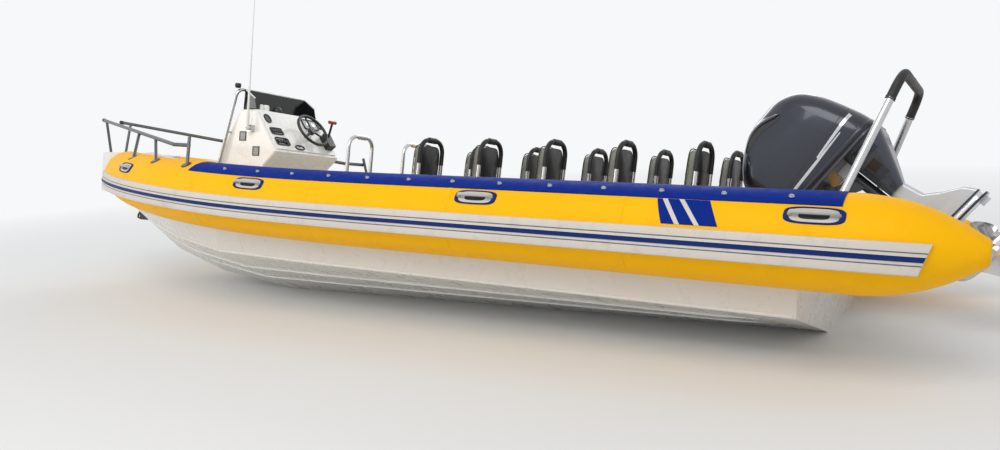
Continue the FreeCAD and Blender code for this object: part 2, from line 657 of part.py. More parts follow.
dash_length = math.hypot(top_aft - face_aft, top - face_low)
dash = dash_plate(dash_length / 2, 0, dash_length - 50, 2 * half - 70, 12)
dash = dash.fuse(dash_plate(dash_length - 115, -200, 150, 230, 10, 10))
wheel_y = -size("wheel_offset")
boss_height = 46
soft = size("soft_gap")
helm_point = dash_low + dash_dir * 200 + V(0, wheel_y, 0)
dash = dash.fuse(Part.makeCylinder(46, boss_height - 6, helm_point + dash_out * 6, dash_out))
feature("dash_panel", dash)

# Windscreen: a low raked pane with side wings, standing on the console's top
screen_t = size("screen_thickness")
screen_h = size("screen_height")
rake = math.radians(size("screen_rake"))
screen_front = top_front - size("screen_setback")
wing = 170


def screen_solid():
    """A raked front pane and two side wings, each a flat plate."""
    y = half - 28
    back = screen_h * math.tan(rake)
    front = [V(screen_front, -y, top), V(screen_front, y, top), V(screen_front - back, y, top + screen_h),
             V(screen_front - back, -y, top + screen_h)]
    pane = Part.Face(Part.makePolygon(front + front[:1])).extrude(V(-screen_t, 0, 0))
    side = [(screen_front - wing, top), (screen_front, top), (screen_front - back, top + screen_h),
            (screen_front - wing + 30, top + screen_h * 0.55)]
    shape = pane
    for end in (-1, 1):
        shape = shape.fuse(prism_y(side, screen_t / 2, end * (y - screen_t / 2)))
    return shape


screen = screen_solid()
feature("windscreen", screen)

# Console rail: a stainless hoop round the console's front, with feet on the sole
rr = size("rail_tube_radius")
gap = size("console_rail_gap")
rail_y = half + gap
rail_z = size("console_rail_top")
console_rail = rod([(5480, rail_y, sole), (5440, rail_y, 1130), (5240, rail_y, rail_z), (5240, -rail_y, rail_z),
                    (5440, -rail_y, 1130), (5480, -rail_y, sole)], rr, 70)
for side in (-1, 1):
    for x, z in ((5450, 1050), (5354, 1435)):
        console_rail = console_rail.fuse(bar((x, side * rail_y, z), (x - 20, side * half, z), 9))
    console_rail = console_rail.fuse(Part.makeCylinder(40, 6, V(5480, side * rail_y, sole)))
sole_slab = Part.makeBox(cockpit_end, 2 * cockpit_half, 100, V(0, -cockpit_half, sole - 100))
console_rail = console_rail.cut(console).cut(console_room).cut(sole_slab)
console_rail = max(console_rail.Solids, key=lambda s: s.Volume)
feature("console_rail", console_rail)

# Throttle box with its lever, on the dash's starboard end
throttle_y = -size("throttle_offset")
box_s = size("throttle_size")
throttle = dash_plate(150, throttle_y - 20, 150, box_s, 70, 12)
lever_base = dash_low + dash_dir * 170 + dash_out * 60 + V(0, throttle_y - 20, 0)
lever_top = lever_base + dash_out * 60 + V(0, 0, 130)
throttle = throttle.fuse(Part.makeCylinder(11, (lever_top - lever_base).Length, lever_base, lever_top - lever_base))
throttle = throttle.fuse(Part.makeCylinder(16, 90, lever_top - V(0, 45, 0), V(0, 1, 0)))
feature("throttle_box", throttle)

# Compass dome on the console's top
compass = Part.makeCylinder(55, 22, V(top_front - 105, 60, top))
compass = compass.fuse(Part.makeSphere(46, V(top_front - 105, 60, top + 22), V(0, 0, 1), 0, 90, 360))
feature("compass", compass)

# Steering wheel: rim, three spokes and a hub on its own shaft, turning about the dash's normal
wheel_r = size("wheel_radius")
rim_r = size("wheel_rim")
standoff = size("wheel_standoff")
wheel_centre = helm_point + dash_out * standoff
wheel = Part.makeTorus(wheel_r - rim_r, rim_r, wheel_centre, dash_out)
wheel = wheel.fuse(Part.makeCylinder(34, 40, wheel_centre - dash_out * 34, dash_out))
wheel = wheel.fuse(Part.makeCylinder(11, standoff - boss_height - soft - 20,
                                     helm_point + dash_out * (boss_height + soft), dash_out))
for k in range(3):
    angle = math.radians(90 + 120 * k)
    spoke_dir = dash_dir * math.sin(angle) + V(0, 1, 0) * math.cos(angle)
    wheel = wheel.fuse(Part.makeCylinder(9, wheel_r - rim_r, wheel_centre - dash_out * 12, spoke_dir))
feature("steering_wheel", wheel)

# Antenna: a folding whip on a bracket at the port side of the console
ant_x = size("antenna_position")
ant_z = size("antenna_base_height")
pin_r = size("antenna_pin_radius")
clear = size("running_clearance")
ant_y = half + 62
bracket = prism_z([(ant_x - 30, half), (ant_x + 30, half), (ant_x + 30, ant_y - 17), (ant_x - 30, ant_y - 17)],
                  ant_z - 30, ant_z + 30)
pin = Part.makeCylinder(pin_r, ant_y + 22 - half, V(ant_x, half + 10, ant_z), V(0, 1, 0))
pin = pin.fuse(Part.makeCylinder(pin_r + 6, 5, V(ant_x, ant_y + 18, ant_z), V(0, 1, 0)))
antenna_mount = bracket.fuse(pin)
feature("antenna_mount", antenna_mount)
ant_len = size("antenna_length")
hub = Part.makeCylinder(20, 32, V(ant_x, ant_y - 16, ant_z), V(0, 1, 0))
sleeve = Part.makeCylinder(15, 140, V(ant_x, ant_y, ant_z + 8))
whip = Part.makeCone(size("antenna_radius"), size("antenna_tip_radius"), ant_len, V(ant_x, ant_y, ant_z + 20))
bore = Part.makeCylinder(pin_r + clear, 60, V(ant_x, ant_y - 30, ant_z), V(0, 1, 0))
antenna = hub.fuse(sleeve).fuse(whip).cut(bore)
feature("whip_antenna", antenna)

# Front grab hoops and the seats' own hoops
hoop_r = size("hoop_radius")
grip_r = size("hoop_grip_radius")
seat_y = size("seat_column_offset")
seat_w = size("seat_width")


def hoop(x, y, height, lean, width, bend):
    """An upright hoop with a thick grip on its cross bar."""
    shape = rod([(x, y - width / 2, sole), (x - lean, y - width / 2, height), (x - lean, y + width / 2, height),
                 (x, y + width / 2, sole)], hoop_r, bend)
    grip = width - 2 * bend - 10
    shape = shape.fuse(Part.makeCylinder(grip_r, grip, V(x - lean, y - grip / 2, height), V(0, 1, 0)))
    for end in (-1, 1):
        shape = shape.fuse(Part.makeCylinder(34, 6, V(x, y + end * width / 2, sole)))
    return shape.cut(sole_slab)


front_x = size("front_hoop_position")
feature("front_hoops", compound([hoop(front_x, side * seat_y, size("front_hoop_height"), 30, 300, 90)
                                 for side in (-1, 1)]))

# Jockey seats: pod, cushion, backrest and a hoop behind it, five in each column
pitch = size("seat_pitch")
first_x = size("first_seat_position")
seat_l = size("seat_length")
base_h = size("seat_base_height")
cushion_h = size("seat_cushion_height")
back_h = size("seat_back_height")
back_t = size("seat_back_thickness")
lean = math.tan(math.radians(size("seat_back_lean")))
hoop_h = size("seat_hoop_height")
ROWS = range(int(size("seat_rows")))
PLACES = [(first_x - k * pitch, side * seat_y) for k in ROWS for side in (-1, 1)]
back_gap = hoop_r + 1


def seat_pod(x, y):
    front = x + 30 + seat_l
    aft = x + 30
    low = rounded_section(front - 25, aft, seat_w / 2 - 20, 40, sole)
    mid = rounded_section(front, aft, seat_w / 2, 40, sole + base_h - 60)
    high = rounded_section(front, aft, seat_w / 2, 40, sole + base_h)
    return Part.makeLoft([low, mid], True, True).fuse(Part.makeLoft([mid, high], True, True))


def seat_cushion(x, y):
    front = x + 30 + seat_l + 8
    aft = x + 30 + back_t
    z = sole + base_h + soft
    low = rounded_section(front, aft, seat_w / 2 + 8, 45, z)
    mid = rounded_section(front, aft, seat_w / 2 + 8, 45, z + cushion_h - 35)
    high = rounded_section(front - 18, aft + 5, seat_w / 2 - 10, 35, z + cushion_h)
    return Part.makeLoft([low, mid], True, True).fuse(Part.makeLoft([mid, high], True, True))


def seat_back(x, y):
    z0 = sole + base_h + soft
    z1 = z0 + cushion_h + back_h
    aft0 = x + hoop_r + soft
    run = (z1 - z0) * lean
    pts = [(aft0 + 30, z0), (aft0 + 30 + back_t - 30, z0), (aft0 + 30 + back_t - 30 - run * 0.8, z1 - 30),
           (aft0 + 30 + back_t - 60 - run, z1), (aft0 + 20 - run * 0.55, z1), (aft0 + 2 - run * 0.5, z1 - 25)]
    return prism_y(pts, seat_w / 2 - 22)


pods = []
cushions = []
backs = []
hoops = []
for x, y in PLACES:
    shift = V(0, y, 0)
    pods.append(seat_pod(x, y).translated(shift))
    cushions.append(seat_cushion(x, y).translated(shift))
    backs.append(seat_back(x, y).translated(shift))
    hoops.append(hoop(x, y, hoop_h, 46, size("seat_hoop_width"), size("seat_hoop_bend")))
hoops = [h.cut(b) for h, b in zip(hoops, backs)]
feature("seat_pods", compound(pods))
feature("seat_cushions", compound(cushions))
feature("seat_backs", compound(backs))
feature("seat_hoops", compound(hoops))

# Stern platforms beside the engine carry the light frame's feet
frame_r = size("frame_tube_radius")
foot_y = size("frame_foot_half_width")
foot_z = size("frame_foot_height")
step_low = foot_z - 60
step = Part.makeBox(320, tube_offset - 470, foot_z - step_low, V(-320, 470, step_low)).cut(tube_both)
step = max(step.Solids, key=lambda s: s.Volume)
feature("stern_platforms", compound([step, mirrored(step)]))

# Raked light frame: a hoop over the engine
run = size("frame_rake_run")
frame_top = size("frame_top_height")
frame_half = size("frame_top_half_width")
frame_x = -60
light_frame = rod([(frame_x, -foot_y, foot_z), (frame_x - run, -frame_half, frame_top),
                   (frame_x - run, frame_half, frame_top), (frame_x, foot_y, foot_z)], frame_r, 120)
for side in (-1, 1):
    light_frame = light_frame.fuse(Part.makeCylinder(60, 8, V(frame_x, side * foot_y, foot_z)))
light_frame = light_frame.cut(step).cut(mirrored(step))
light_frame = max(light_frame.Solids, key=lambda s: s.Volume)
feature("light_frame", light_frame)

# Lashing eyes on the transom's aft face
EYES = [(500, 560), (-500, 560)]


def transom_eye(y, z):
    plate = Part.makeCylinder(22, 14, V(-34, y, z - 7)).fuse(Part.makeBox(34, 44, 14, V(-34, y - 22, z - 7)))
    return plate.cut(Part.makeCylinder(11, 30, V(-34, y, z - 15)))


feature("transom_eyes", compound([transom_eye(y, z) for y, z in EYES]))

# Engine frame: origin on the tilt axis, X forward, Z up along the engine when it is down.
# At rest the engine is tilted up about the tilt axis.
tilt_x = size("tilt_axis_position")
tilt_z = size("tilt_axis_height")
rest = size("tilt_rest_angle")
TILT_POINT = FreeCAD.Placement(V(tilt_x, 0, tilt_z), FreeCAD.Rotation())
ENGINE = TILT_POINT * FreeCAD.Placement(V(0, 0, 0), FreeCAD.Rotation(V(0, 1, 0), rest))

# Clamp bracket: two plates over the transom, the tilt tube and the tilt ram's foot pin
tube_r = size("tilt_tube_radius")
plate_in = size("clamp_plate_inner")
plate_t = size("clamp_plate_thickness")
pin_radius = size("ram_pin_radius")
foot_back = size("ram_foot_back")
foot_drop = size("ram_foot_drop")
seat_drop = tilt_z - size("engine_mount_height")
CLAMP_OUTLINE = [
    (-tilt_x, -420), (-62, -420), (-98, -355), (-102, -300), (-72, -60), (-34, 12), (-20, 26), (0, 32),
    (22, 25), (34, 6), (40, -seat_drop), (-tilt_x, -seat_drop),
]
clamp = bar((0, -plate_in - plate_t, 0), (0, plate_in + plate_t, 0), tube_r)
for side in (-1, 1):
    clamp = clamp.fuse(prism_y(CLAMP_OUTLINE, plate_t / 2, side * (plate_in + plate_t / 2)))
foot_pin = bar((-foot_back, -plate_in - plate_t, -foot_drop), (-foot_back, plate_in + plate_t, -foot_drop), pin_radius)
feature("clamp_bracket", clamp.fuse(foot_pin), TILT_POINT)

# Swivel bracket: a boss on the tilt tube, two arms, the upright steering tube and the rod's lugs
swivel_x = -size("swivel_offset")
swivel_r = size("swivel_tube_radius")
swivel_top = -size("swivel_top")
swivel_low = -size("swivel_bottom")
shaft_r = size("steer_shaft_radius")
eye_radius = size("ram_eye_radius")
head_back = size("ram_head_back")
head_drop = size("ram_head_drop")
boss_half = plate_in - 6
boss = bar((0, -boss_half, 0), (0, boss_half, 0), size("tilt_boss_radius"))
upright = Part.makeCylinder(swivel_r, swivel_top - swivel_low, V(swivel_x, 0, swivel_low))
swivel = boss.fuse(upright)
for side in (-1, 1):
    arm = prism_y([(0, -29), (0, 12), (-64, swivel_top), (swivel_x - 5, swivel_top), (swivel_x - 5, -78),
                   (-90, -40)], 24, side * 44)
    lug = prism_y([(-40, -28), (-head_back + 22, -head_drop), (-head_back + 10, -head_drop - 22),
                   (-head_back - 10, -head_drop - 22), (swivel_x + 10, -head_drop - 60), (swivel_x + 10, -40)],
                  6, side * 26)
    swivel = swivel.fuse(arm).fuse(lug)
swivel = swivel.cut(bar((0, -120, 0), (0, 120, 0), tube_r + clear))
swivel = swivel.cut(Part.makeCylinder(shaft_r + clear, 600, V(swivel_x, 0, -500)))
feature("swivel_bracket", swivel, ENGINE)

# Tilt ram and rod, drawn in the rest pose: the ram stands on its foot pin and the rod's eye
# lies between the swivel bracket's lugs
foot = V(-foot_back, 0, -foot_drop)
angle = math.radians(rest)
head = V(-head_back * math.cos(angle) - head_drop * math.sin(angle), 0,
         head_back * math.sin(angle) - head_drop * math.cos(angle))
ram_dir = (head - foot).normalize()
ram_r = size("ram_radius")
rod_r = size("ram_rod_radius")
body_length = size("ram_body_length")
rod_length = size("ram_rod_length")
ram = Part.makeCylinder(ram_r, body_length - 24, foot + ram_dir * 24, ram_dir)
ram = ram.fuse(Part.makeCylinder(eye_radius, 40, foot - V(0, 20, 0), V(0, 1, 0)))
ram = ram.fuse(Part.makeCylinder(ram_r - 6, 30, foot, ram_dir))
ram = ram.cut(Part.makeCylinder(pin_radius + clear, 80, foot - V(0, 40, 0), V(0, 1, 0)))
ram = ram.cut(Part.makeCylinder(rod_r + clear, body_length, foot + ram_dir * 50, ram_dir))
feature("tilt_ram", ram, TILT_POINT)
tilt_rod = Part.makeCylinder(rod_r, rod_length, head, ram_dir * -1)
tilt_rod = tilt_rod.fuse(Part.makeCylinder(eye_radius, 26, head - V(0, 13, 0), V(0, 1, 0)))
tilt_rod = tilt_rod.cut(Part.makeCylinder(pin_radius, 40, head - V(0, 20, 0), V(0, 1, 0)))
feature("tilt_rod", tilt_rod, TILT_POINT)

# Midsection: steering shaft, its two yokes and the exhaust housing, by level stations
# Station: height, front, aft, half width, corner
HOUSING_STATIONS = [
    (42, -208, -330, 62, 25), (-300, -208, -322, 60, 25), (-432, -205, -345, 58, 25),
    (-500, -150, -420, 55, 25), (-570, -150, -520, 50, 22), (-640, -150, -560, 48, 20),
]


def stacked(stations, straight=True):
    """A loft through level rounded rectangles."""
    return Part.makeLoft([rounded_section(front, aft, wide, corner, z) for z, front, aft, wide, corner in stations],
                         True, straight)


housing = stacked(list(reversed(HOUSING_STATIONS)))
shaft = Part.makeCylinder(shaft_r, 42 - swivel_low + 30, V(swivel_x, 0, swivel_low - 30))
yoke_top = Part.makeBox(130, 110, 42 - (swivel_top + 6), V(-240, -55, swivel_top + 6))
yoke_low = Part.makeBox(230, 100, 46, V(-345, -50, swivel_low - 52))
midsection = housing.fuse(shaft).fuse(yoke_top).fuse(yoke_low)
feature("midsection", midsection, ENGINE)

# Lower cowl: a pan under the cowl and an apron round the housing
pan_low = size("cowl_bottom") - size("cowl_pan_thickness")
PAN = (size("cowl_bottom"), 345, -508, 285, 130)
pan = Part.Face(rounded_section(PAN[1], PAN[2], PAN[3], PAN[4], pan_low)).extrude(V(0, 0, PAN[0] - pan_low))
APRON_STATIONS = [(-303, -206, -316, 95, 40), (-200, -206, -378, 150, 60), (-100, -206, -436, 195, 75),
                  (0, -206, -490, 228, 90), (pan_low, -206, -505, 240, 100)]
lower_cowl = stacked(APRON_STATIONS).fuse(pan)
lower_cowl = lower_cowl.cut(midsection)
lower_cowl = max(lower_cowl.Solids, key=lambda s: s.Volume)
feature("lower_cowl", lower_cowl, ENGINE)

# Upper cowl, by level stations, hollow and open below
COWL_STATIONS = [
    (55, 345, -508, 285, 130), (130, 360, -504, 290, 140), (250, 360, -480, 290, 140),
    (350, 352, -455, 284, 135), (430, 330, -430, 275, 130), (500, 272, -402, 258, 125),
    (560, 202, -366, 236, 115), (610, 128, -318, 200, 100), (650, 45, -252, 145, 72), (676, -55, -190, 70, 32),
]


def cowl_loft(gap):
    stations = []
    for z, front, aft, wide, corner in COWL_STATIONS:
        up = z - gap if z > 200 else z
        stations.append((up, front - gap, aft + gap, wide - gap, corner - gap))
    return stacked(stations, False)


cowl_wall = size("cowl_wall")
cowl = cowl_loft(0).cut(cowl_loft(cowl_wall))
cowl = max(cowl.Solids, key=lambda s: s.Volume)
feature("upper_cowl", cowl, ENGINE)
block = primitive("Part::Box", "PowerheadBlock",
                  {"Length": "560 mm", "Width": "330 mm", "Height": "420 mm"},
                  ("-350", "-165", "Sizes.cowl_bottom"))
keep("engine_block", block, ENGINE)

# Gearcase: plate, strut, torpedo, skeg and propeller shaft
plate_z = -size("plate_depth")
prop_z = -size("propeller_depth")
prop_x = -size("propeller_station")
hub_r = size("propeller_hub_radius")
prop_shaft = size("propeller_shaft_radius")
wide = size("plate_half_width")
gearcase = stacked([(plate_z, -150, -548, 44, 18), (-640, -150, -560, 48, 20)])
plate = Part.Face(rounded_section(-125, -578, wide, 90, plate_z - 10)).extrude(V(0, 0, 14))
splash = Part.Face(rounded_section(-140, -560, wide - 35, 70, -652)).extrude(V(0, 0, 8))
strut = stacked([(-960, -150, -312, 20, 15), (-748, -150, -318, 28, 20), (plate_z - 5, -150, -400, 38, 26)])
profile = [V(-62, 0, prop_z), V(-80, 0, prop_z + 22), V(-118, 0, prop_z + 42), V(-180, 0, prop_z + 53),
           V(-270, 0, prop_z + 54), V(-334, 0, prop_z + 50), V(-334, 0, prop_z)]
curve = Part.BSplineCurve()
curve.interpolate(profile[:-1])
outline = Part.Wire([curve.toShape(), Part.LineSegment(profile[-2], profile[-1]).toShape(),
                     Part.LineSegment(profile[-1], profile[0]).toShape()])
torpedo = Part.Face(outline).revolve(V(0, 0, prop_z), V(1, 0, 0), 360)
skeg = prism_y([(-175, prop_z - 30), (-318, prop_z - 30), (-326, prop_z - 150), (-300, prop_z - 200),
                (-262, prop_z - 200), (-205, prop_z - 80)], 6)
gearcase = gearcase.fuse(plate).fuse(splash).fuse(strut).fuse(torpedo).fuse(skeg)
gearcase = gearcase.fuse(Part.makeCylinder(prop_shaft, 120, V(-450, 0, prop_z), V(1, 0, 0)))
feature("gearcase", gearcase, ENGINE)

# Propeller: a hub and three twisted blades; station: radius, chord, pitch angle, thickness
BLADE_STATIONS = [(38, 96, 62, 9), (95, 150, 46, 7), (150, 150, 34, 5), (size("propeller_radius"), 60, 27, 3)]


def blade_section(radius, chord, pitch, thick):
    a = math.radians(pitch)
    along = V(-math.sin(a), math.cos(a), 0)
    across = V(math.cos(a), math.sin(a), 0)
    mid = V(prop_x, 0, prop_z + radius)
    pts = [mid + along * (c * chord / 2) + across * (t * thick / 2)
           for c, t in ((-1, 0), (-0.35, 1), (0.5, 0.8), (1, 0), (0.5, -0.8), (-0.35, -1))]
    return Part.makePolygon(pts + pts[:1])


blade = Part.makeLoft([blade_section(*row) for row in BLADE_STATIONS], True, False)
propeller = Part.makeCone(hub_r - 6, hub_r, 96, V(prop_x - 52, 0, prop_z), V(1, 0, 0))
for k in range(3):
    turned = blade.copy()
    turned.rotate(V(0, 0, prop_z), V(1, 0, 0), 120 * k)
    propeller = propeller.fuse(turned)
propeller = propeller.cut(Part.makeCylinder(prop_shaft + clear, 200, V(prop_x - 100, 0, prop_z), V(1, 0, 0)))
feature("propeller", propeller, ENGINE)

# Attitude on the floor: the keel and the aft end of the starboard chine touch it
doc.recompute()
keel_aft = V(0, 0, size("keel_aft_height"))
keel_low = V(size("keel_low_position"), 0, 0)
chine_aft = V(0, -chine_y, chine_z)
floor_up = (chine_aft - keel_aft).cross(keel_low - keel_aft)
floor_up = floor_up.normalize()
if floor_up.z < 0:
    floor_up = floor_up * -1
floor_x = V(1, 0, 0) - floor_up * floor_up.x
floor_x = floor_x.normalize()
floor_y = floor_up.cross(floor_x)
turn = FreeCAD.Matrix(floor_x.x, floor_x.y, floor_x.z, 0, floor_y.x, floor_y.y, floor_y.z, 0,
                      floor_up.x, floor_up.y, floor_up.z, 0, 0, 0, 0, 1)
lying = FreeCAD.Placement(turn)
points = []
for label, obj, place in PARTS:
    local = obj.Placement
    if label == "engine_block":
        local = place * obj.Placement
    elif obj.TypeId == "Part::Feature":
        local = place
    shape = obj.Shape.copy()
    shape.Placement = lying * local
    points += shape.tessellate(2.0)[0]
shift = V(-(min(p.x for p in points) + max(p.x for p in points)) / 2,
          -(min(p.y for p in points) + max(p.y for p in points)) / 2, -min(p.z for p in points))
ATTITUDE = FreeCAD.Placement(shift, FreeCAD.Rotation()) * lying
for label, obj, place in PARTS:
    if label == "engine_block":
        corner = FreeCAD.Placement(V(-350, -165, size("cowl_bottom")), FreeCAD.Rotation())
        for axis in "xyz":
            obj.setExpression("Placement.Base." + axis, None)
        obj.Placement = ATTITUDE * place * corner
    else:
        obj.Placement = ATTITUDE * place
doc.recompute()

for obj in doc.Objects:
    if "Invalid" in obj.State or "Error" in obj.State:
        raise RuntimeError("object %s failed: %s" % (obj.Label, obj.State))
for label, obj, place in PARTS:
    if obj.Shape.isNull() or not obj.Shape.isValid() or not obj.Shape.Solids:
        raise RuntimeError("shape of %s is not usable" % label)

os.makedirs("parts", exist_ok=True)
for label, obj, place in PARTS:
    obj.Shape.exportStep("parts/" + label + ".step")
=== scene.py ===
import bpy, bmesh, json
from math import acos, asin, atan2, ceil, copysign, cos, degrees, dist, exp, pi, radians, sin, sqrt, tan
from mathutils import Vector, Matrix


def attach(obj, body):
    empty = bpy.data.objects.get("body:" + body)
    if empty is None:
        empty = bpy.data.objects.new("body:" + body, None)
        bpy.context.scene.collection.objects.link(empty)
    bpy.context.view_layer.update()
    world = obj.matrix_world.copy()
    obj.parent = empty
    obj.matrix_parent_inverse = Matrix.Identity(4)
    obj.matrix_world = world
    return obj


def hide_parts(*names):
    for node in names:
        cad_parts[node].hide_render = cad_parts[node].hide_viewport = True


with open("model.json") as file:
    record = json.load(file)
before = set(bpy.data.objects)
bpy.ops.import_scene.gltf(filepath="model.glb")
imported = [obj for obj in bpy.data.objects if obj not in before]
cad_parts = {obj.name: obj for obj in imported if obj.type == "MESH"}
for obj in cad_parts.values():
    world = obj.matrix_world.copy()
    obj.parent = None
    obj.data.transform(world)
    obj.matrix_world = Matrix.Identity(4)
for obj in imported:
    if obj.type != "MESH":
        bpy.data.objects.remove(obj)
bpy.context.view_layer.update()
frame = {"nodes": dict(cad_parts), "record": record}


def V(x, y, z):
    return Vector((x, y, z))


# Deck frame: X forward from the transom's aft face, Y to port, Z up from the keel's lowest point, in metres.
# The boat lies on its keel and on the aft end of its starboard chine.
KEEL_AFT, KEEL_LOW, CHINE_AFT = V(0, 0, 0.190), V(4.9, 0, 0), V(0, -0.950, 0.345)
up = (CHINE_AFT - KEEL_AFT).cross(KEEL_LOW - KEEL_AFT).normalized()
up = up if up.z > 0 else -up
ahead = (V(1, 0, 0) - up * up.x).normalized()
TURN = Matrix((ahead, up.cross(ahead), up))
EYE_DECK = V(7.185, 0, 0.553)
EYE = Vector(next(m["pos_m"] for m in frame["record"]["mounts"] if m["name"] == "bow_eye_hole"))
DECK = Matrix.Translation(EYE - TURN @ EYE_DECK) @ TURN.to_4x4()
MIRROR = DECK @ Matrix.Scale(-1, 4, (0, 1, 0)) @ DECK.inverted()
# Engine frame: its origin is on the tilt axis, and the engine rests tilted up
TILT_AXIS, TILT_REST = V(0.030, 0, 1.125), 52
ENGINE = DECK @ Matrix.Translation(TILT_AXIS) @ Matrix.Rotation(radians(TILT_REST), 4, "Y")


# ---- materials ----
def linear(rgb):
    """An sRGB colour, 0 to 255, as linear values."""
    return tuple(c / 12.92 if c <= 0.04045 else ((c + 0.055) / 1.055) ** 2.4 for c in [v / 255 for v in rgb])


def wire(tree, node, **sockets):
    """Sets or links a shader node's inputs; an underscore stands for a space in an input's name."""
    for name, value in sockets.items():
        socket = node.inputs[name.replace("_", " ")]
        if isinstance(value, bpy.types.NodeSocket):
            tree.links.new(value, socket)
        else:
            socket.default_value = value
    return node


def add(tree, kind, **sockets):
    return wire(tree, tree.nodes.new("ShaderNode" + kind), **sockets)


def noise(tree, vector, scale, detail, rough):
    return add(tree, "TexNoise", Vector=vector, Scale=scale, Detail=detail, Roughness=rough).outputs["Fac"]


def ramp(tree, value, low, high, a=0.0, b=1.0):
    return add(tree, "MapRange", Value=value, From_Min=low, From_Max=high, To_Min=a, To_Max=b).outputs["Result"]


def mixed(tree, factor, first, second):
    node = tree.nodes.new("ShaderNodeMix")
    node.data_type = "RGBA"
    for name, value in (("Factor", factor), ("A", first), ("B", second)):
        if isinstance(value, tuple):
            node.inputs[name].default_value = (*value, 1)
        else:
            tree.links.new(value, node.inputs[name])
    return node.outputs["Result"]


def blend(tree, factor, first, second):
    """Two shader nodes, mixed."""
    node = add(tree, "MixShader", Fac=factor)
    tree.links.new(first.outputs[0], node.inputs[1])
    tree.links.new(second.outputs[0], node.inputs[2])
    return node.outputs["Shader"]


M, SLOT_OF = {}, {}


def finish(key, slot, name, rgb, rough, metal=0.0, *, vary, grain=None, dirt=None, coat=0.0, spec=0.5, sheen=0.0,
           dents=0.0, rough_vary=0.08, stretch=(1, 1, 1), place=DECK):
    """A finish with colour variation, grain and uneven gloss; rgb is in sRGB, 0 to 255.

    vary: how much of the colour is shaded, the patches' scale and their shade; grain: strength and scale;
    dirt: colour and how much of it."""
    mat = bpy.data.materials.new(name)
    mat.use_nodes = True
    tree = mat.node_tree
    shader = tree.nodes["Principled BSDF"]
    # meshes are stored in the row frame, and a pattern lies in the deck's or the engine's own
    mapping = add(tree, "Mapping", Vector=add(tree, "TexCoord").outputs["Object"], Location=place.to_translation(),
                  Rotation=place.to_euler(), Scale=[1 / s for s in stretch])
    mapping.vector_type = "TEXTURE"
    where = mapping.outputs["Vector"]
    base = linear(rgb)
    share, scale, shade = vary
    broad = noise(tree, where, scale, 5, 0.6)
    colour = mixed(tree, ramp(tree, broad, 0.35, 0.7, 0.0, share), base, tuple(c * shade for c in base))
    if dirt:
        spots = noise(tree, where, scale * 4.3, 8, 0.7)
        colour = mixed(tree, ramp(tree, spots, 0.52, 0.78, 0.0, dirt[3]), colour, linear(dirt[:3]))
    fine = noise(tree, where, scale * 7, 4, 0.6)
    gloss = ramp(tree, fine, 0.3, 0.7, max(rough - rough_vary, 0.02), rough + rough_vary)
    wire(tree, shader, Base_Color=colour, Roughness=gloss, Metallic=metal, Coat_Weight=coat,
         Coat_Roughness=0.08 if coat else 0.03, Sheen_Weight=sheen, Specular_IOR_Level=spec)
    if grain:
        height = noise(tree, where, grain[1], 2, 0.5)
        last = add(tree, "Bump", Strength=grain[0], Distance=0.0008, Height=height).outputs["Normal"]
        if dents:
            height = noise(tree, where, 5.0, 2, 0.4)
            last = add(tree, "Bump", Strength=dents, Distance=0.004, Height=height, Normal=last).outputs["Normal"]
        wire(tree, shader, Normal=last)
    M[key], SLOT_OF[key] = mat, slot


finish("yellow", "tube_fabric", "yellow_tube_fabric", (252, 186, 0), 0.5, vary=(0.2, 1.6, 0.88), grain=(0.25, 900),
       dirt=(206, 146, 14, 0.25), dents=0.22, spec=0.12)
finish("blue", "blue_strip", "blue_wear_fabric", (6, 40, 132), 0.6, vary=(0.3, 2.5, 0.72), grain=(0.35, 700),
       dirt=(34, 62, 130, 0.2), spec=0.06)
finish("navy", "blue_strip", "navy_stripe_rubber", (18, 42, 104), 0.5, vary=(0.3, 2.5, 0.75), grain=(0.25, 700),
       dirt=(60, 76, 120, 0.2), spec=0.12)
finish("grey", "strake_rubber", "strake_grey_rubber", (208, 201, 192), 0.5, vary=(0.35, 2.5, 0.84),
       grain=(0.3, 600), dirt=(150, 134, 112, 0.35))
finish("line", "strake_rubber", "strake_dark_rubber", (84, 82, 96), 0.55, vary=(0.3, 2.5, 0.82), grain=(0.3, 400))
finish("gelcoat", "gelcoat", "hull_gelcoat", (224, 222, 216), 0.3, vary=(0.2, 0.9, 0.94), dirt=(190, 176, 156, 0.1),
       coat=0.15)
finish("cream", "gelcoat", "console_gelcoat", (240, 240, 236), 0.26, vary=(0.2, 3, 0.96),
       dirt=(210, 204, 192, 0.08), coat=0.2)
finish("sole", "gelcoat", "nonskid_deck", (214, 211, 204), 0.7, vary=(0.35, 2, 0.85), grain=(0.9, 260),
       dirt=(150, 130, 104, 0.4))
# the recess face's tan is painted shade warmed by painted bounce light, not the gelcoat's own colour
finish("tan", "gelcoat", "recess_painted_bounce_shade", (206, 186, 160), 0.42, vary=(0.3, 2.5, 0.85), grain=(0.2, 400))
finish("steel", "stainless", "stainless_tube", (198, 199, 200), 0.27, 1.0, vary=(0.3, 9, 0.8), grain=(0.06, 900),
       rough_vary=0.09)
# the rails' stainless steel darkened all over: painted shade
finish("rail", "stainless", "rail_steel_painted_shade", (92, 94, 96), 0.34, 0.7, vary=(0.3, 6, 0.8), grain=(0.06, 900))
finish("black", "black_rubber", "black_rubber", (24, 24, 26), 0.55, vary=(0.4, 2.5, 0.6), grain=(0.5, 800),
       dirt=(90, 86, 80, 0.14))
finish("plastic", "black_plastic", "black_plastic", (30, 31, 33), 0.4, vary=(0.4, 2.5, 0.7), grain=(0.3, 1200))
finish("red", "black_plastic", "red_plastic", (176, 28, 30), 0.4, vary=(0.25, 2.5, 0.8), grain=(0.2, 400))
finish("grey_plastic", "grey_plastic", "grey_dash_plastic", (176, 178, 178), 0.42, vary=(0.25, 2.5, 0.88),
       grain=(0.3, 1000), dirt=(130, 126, 118, 0.2))
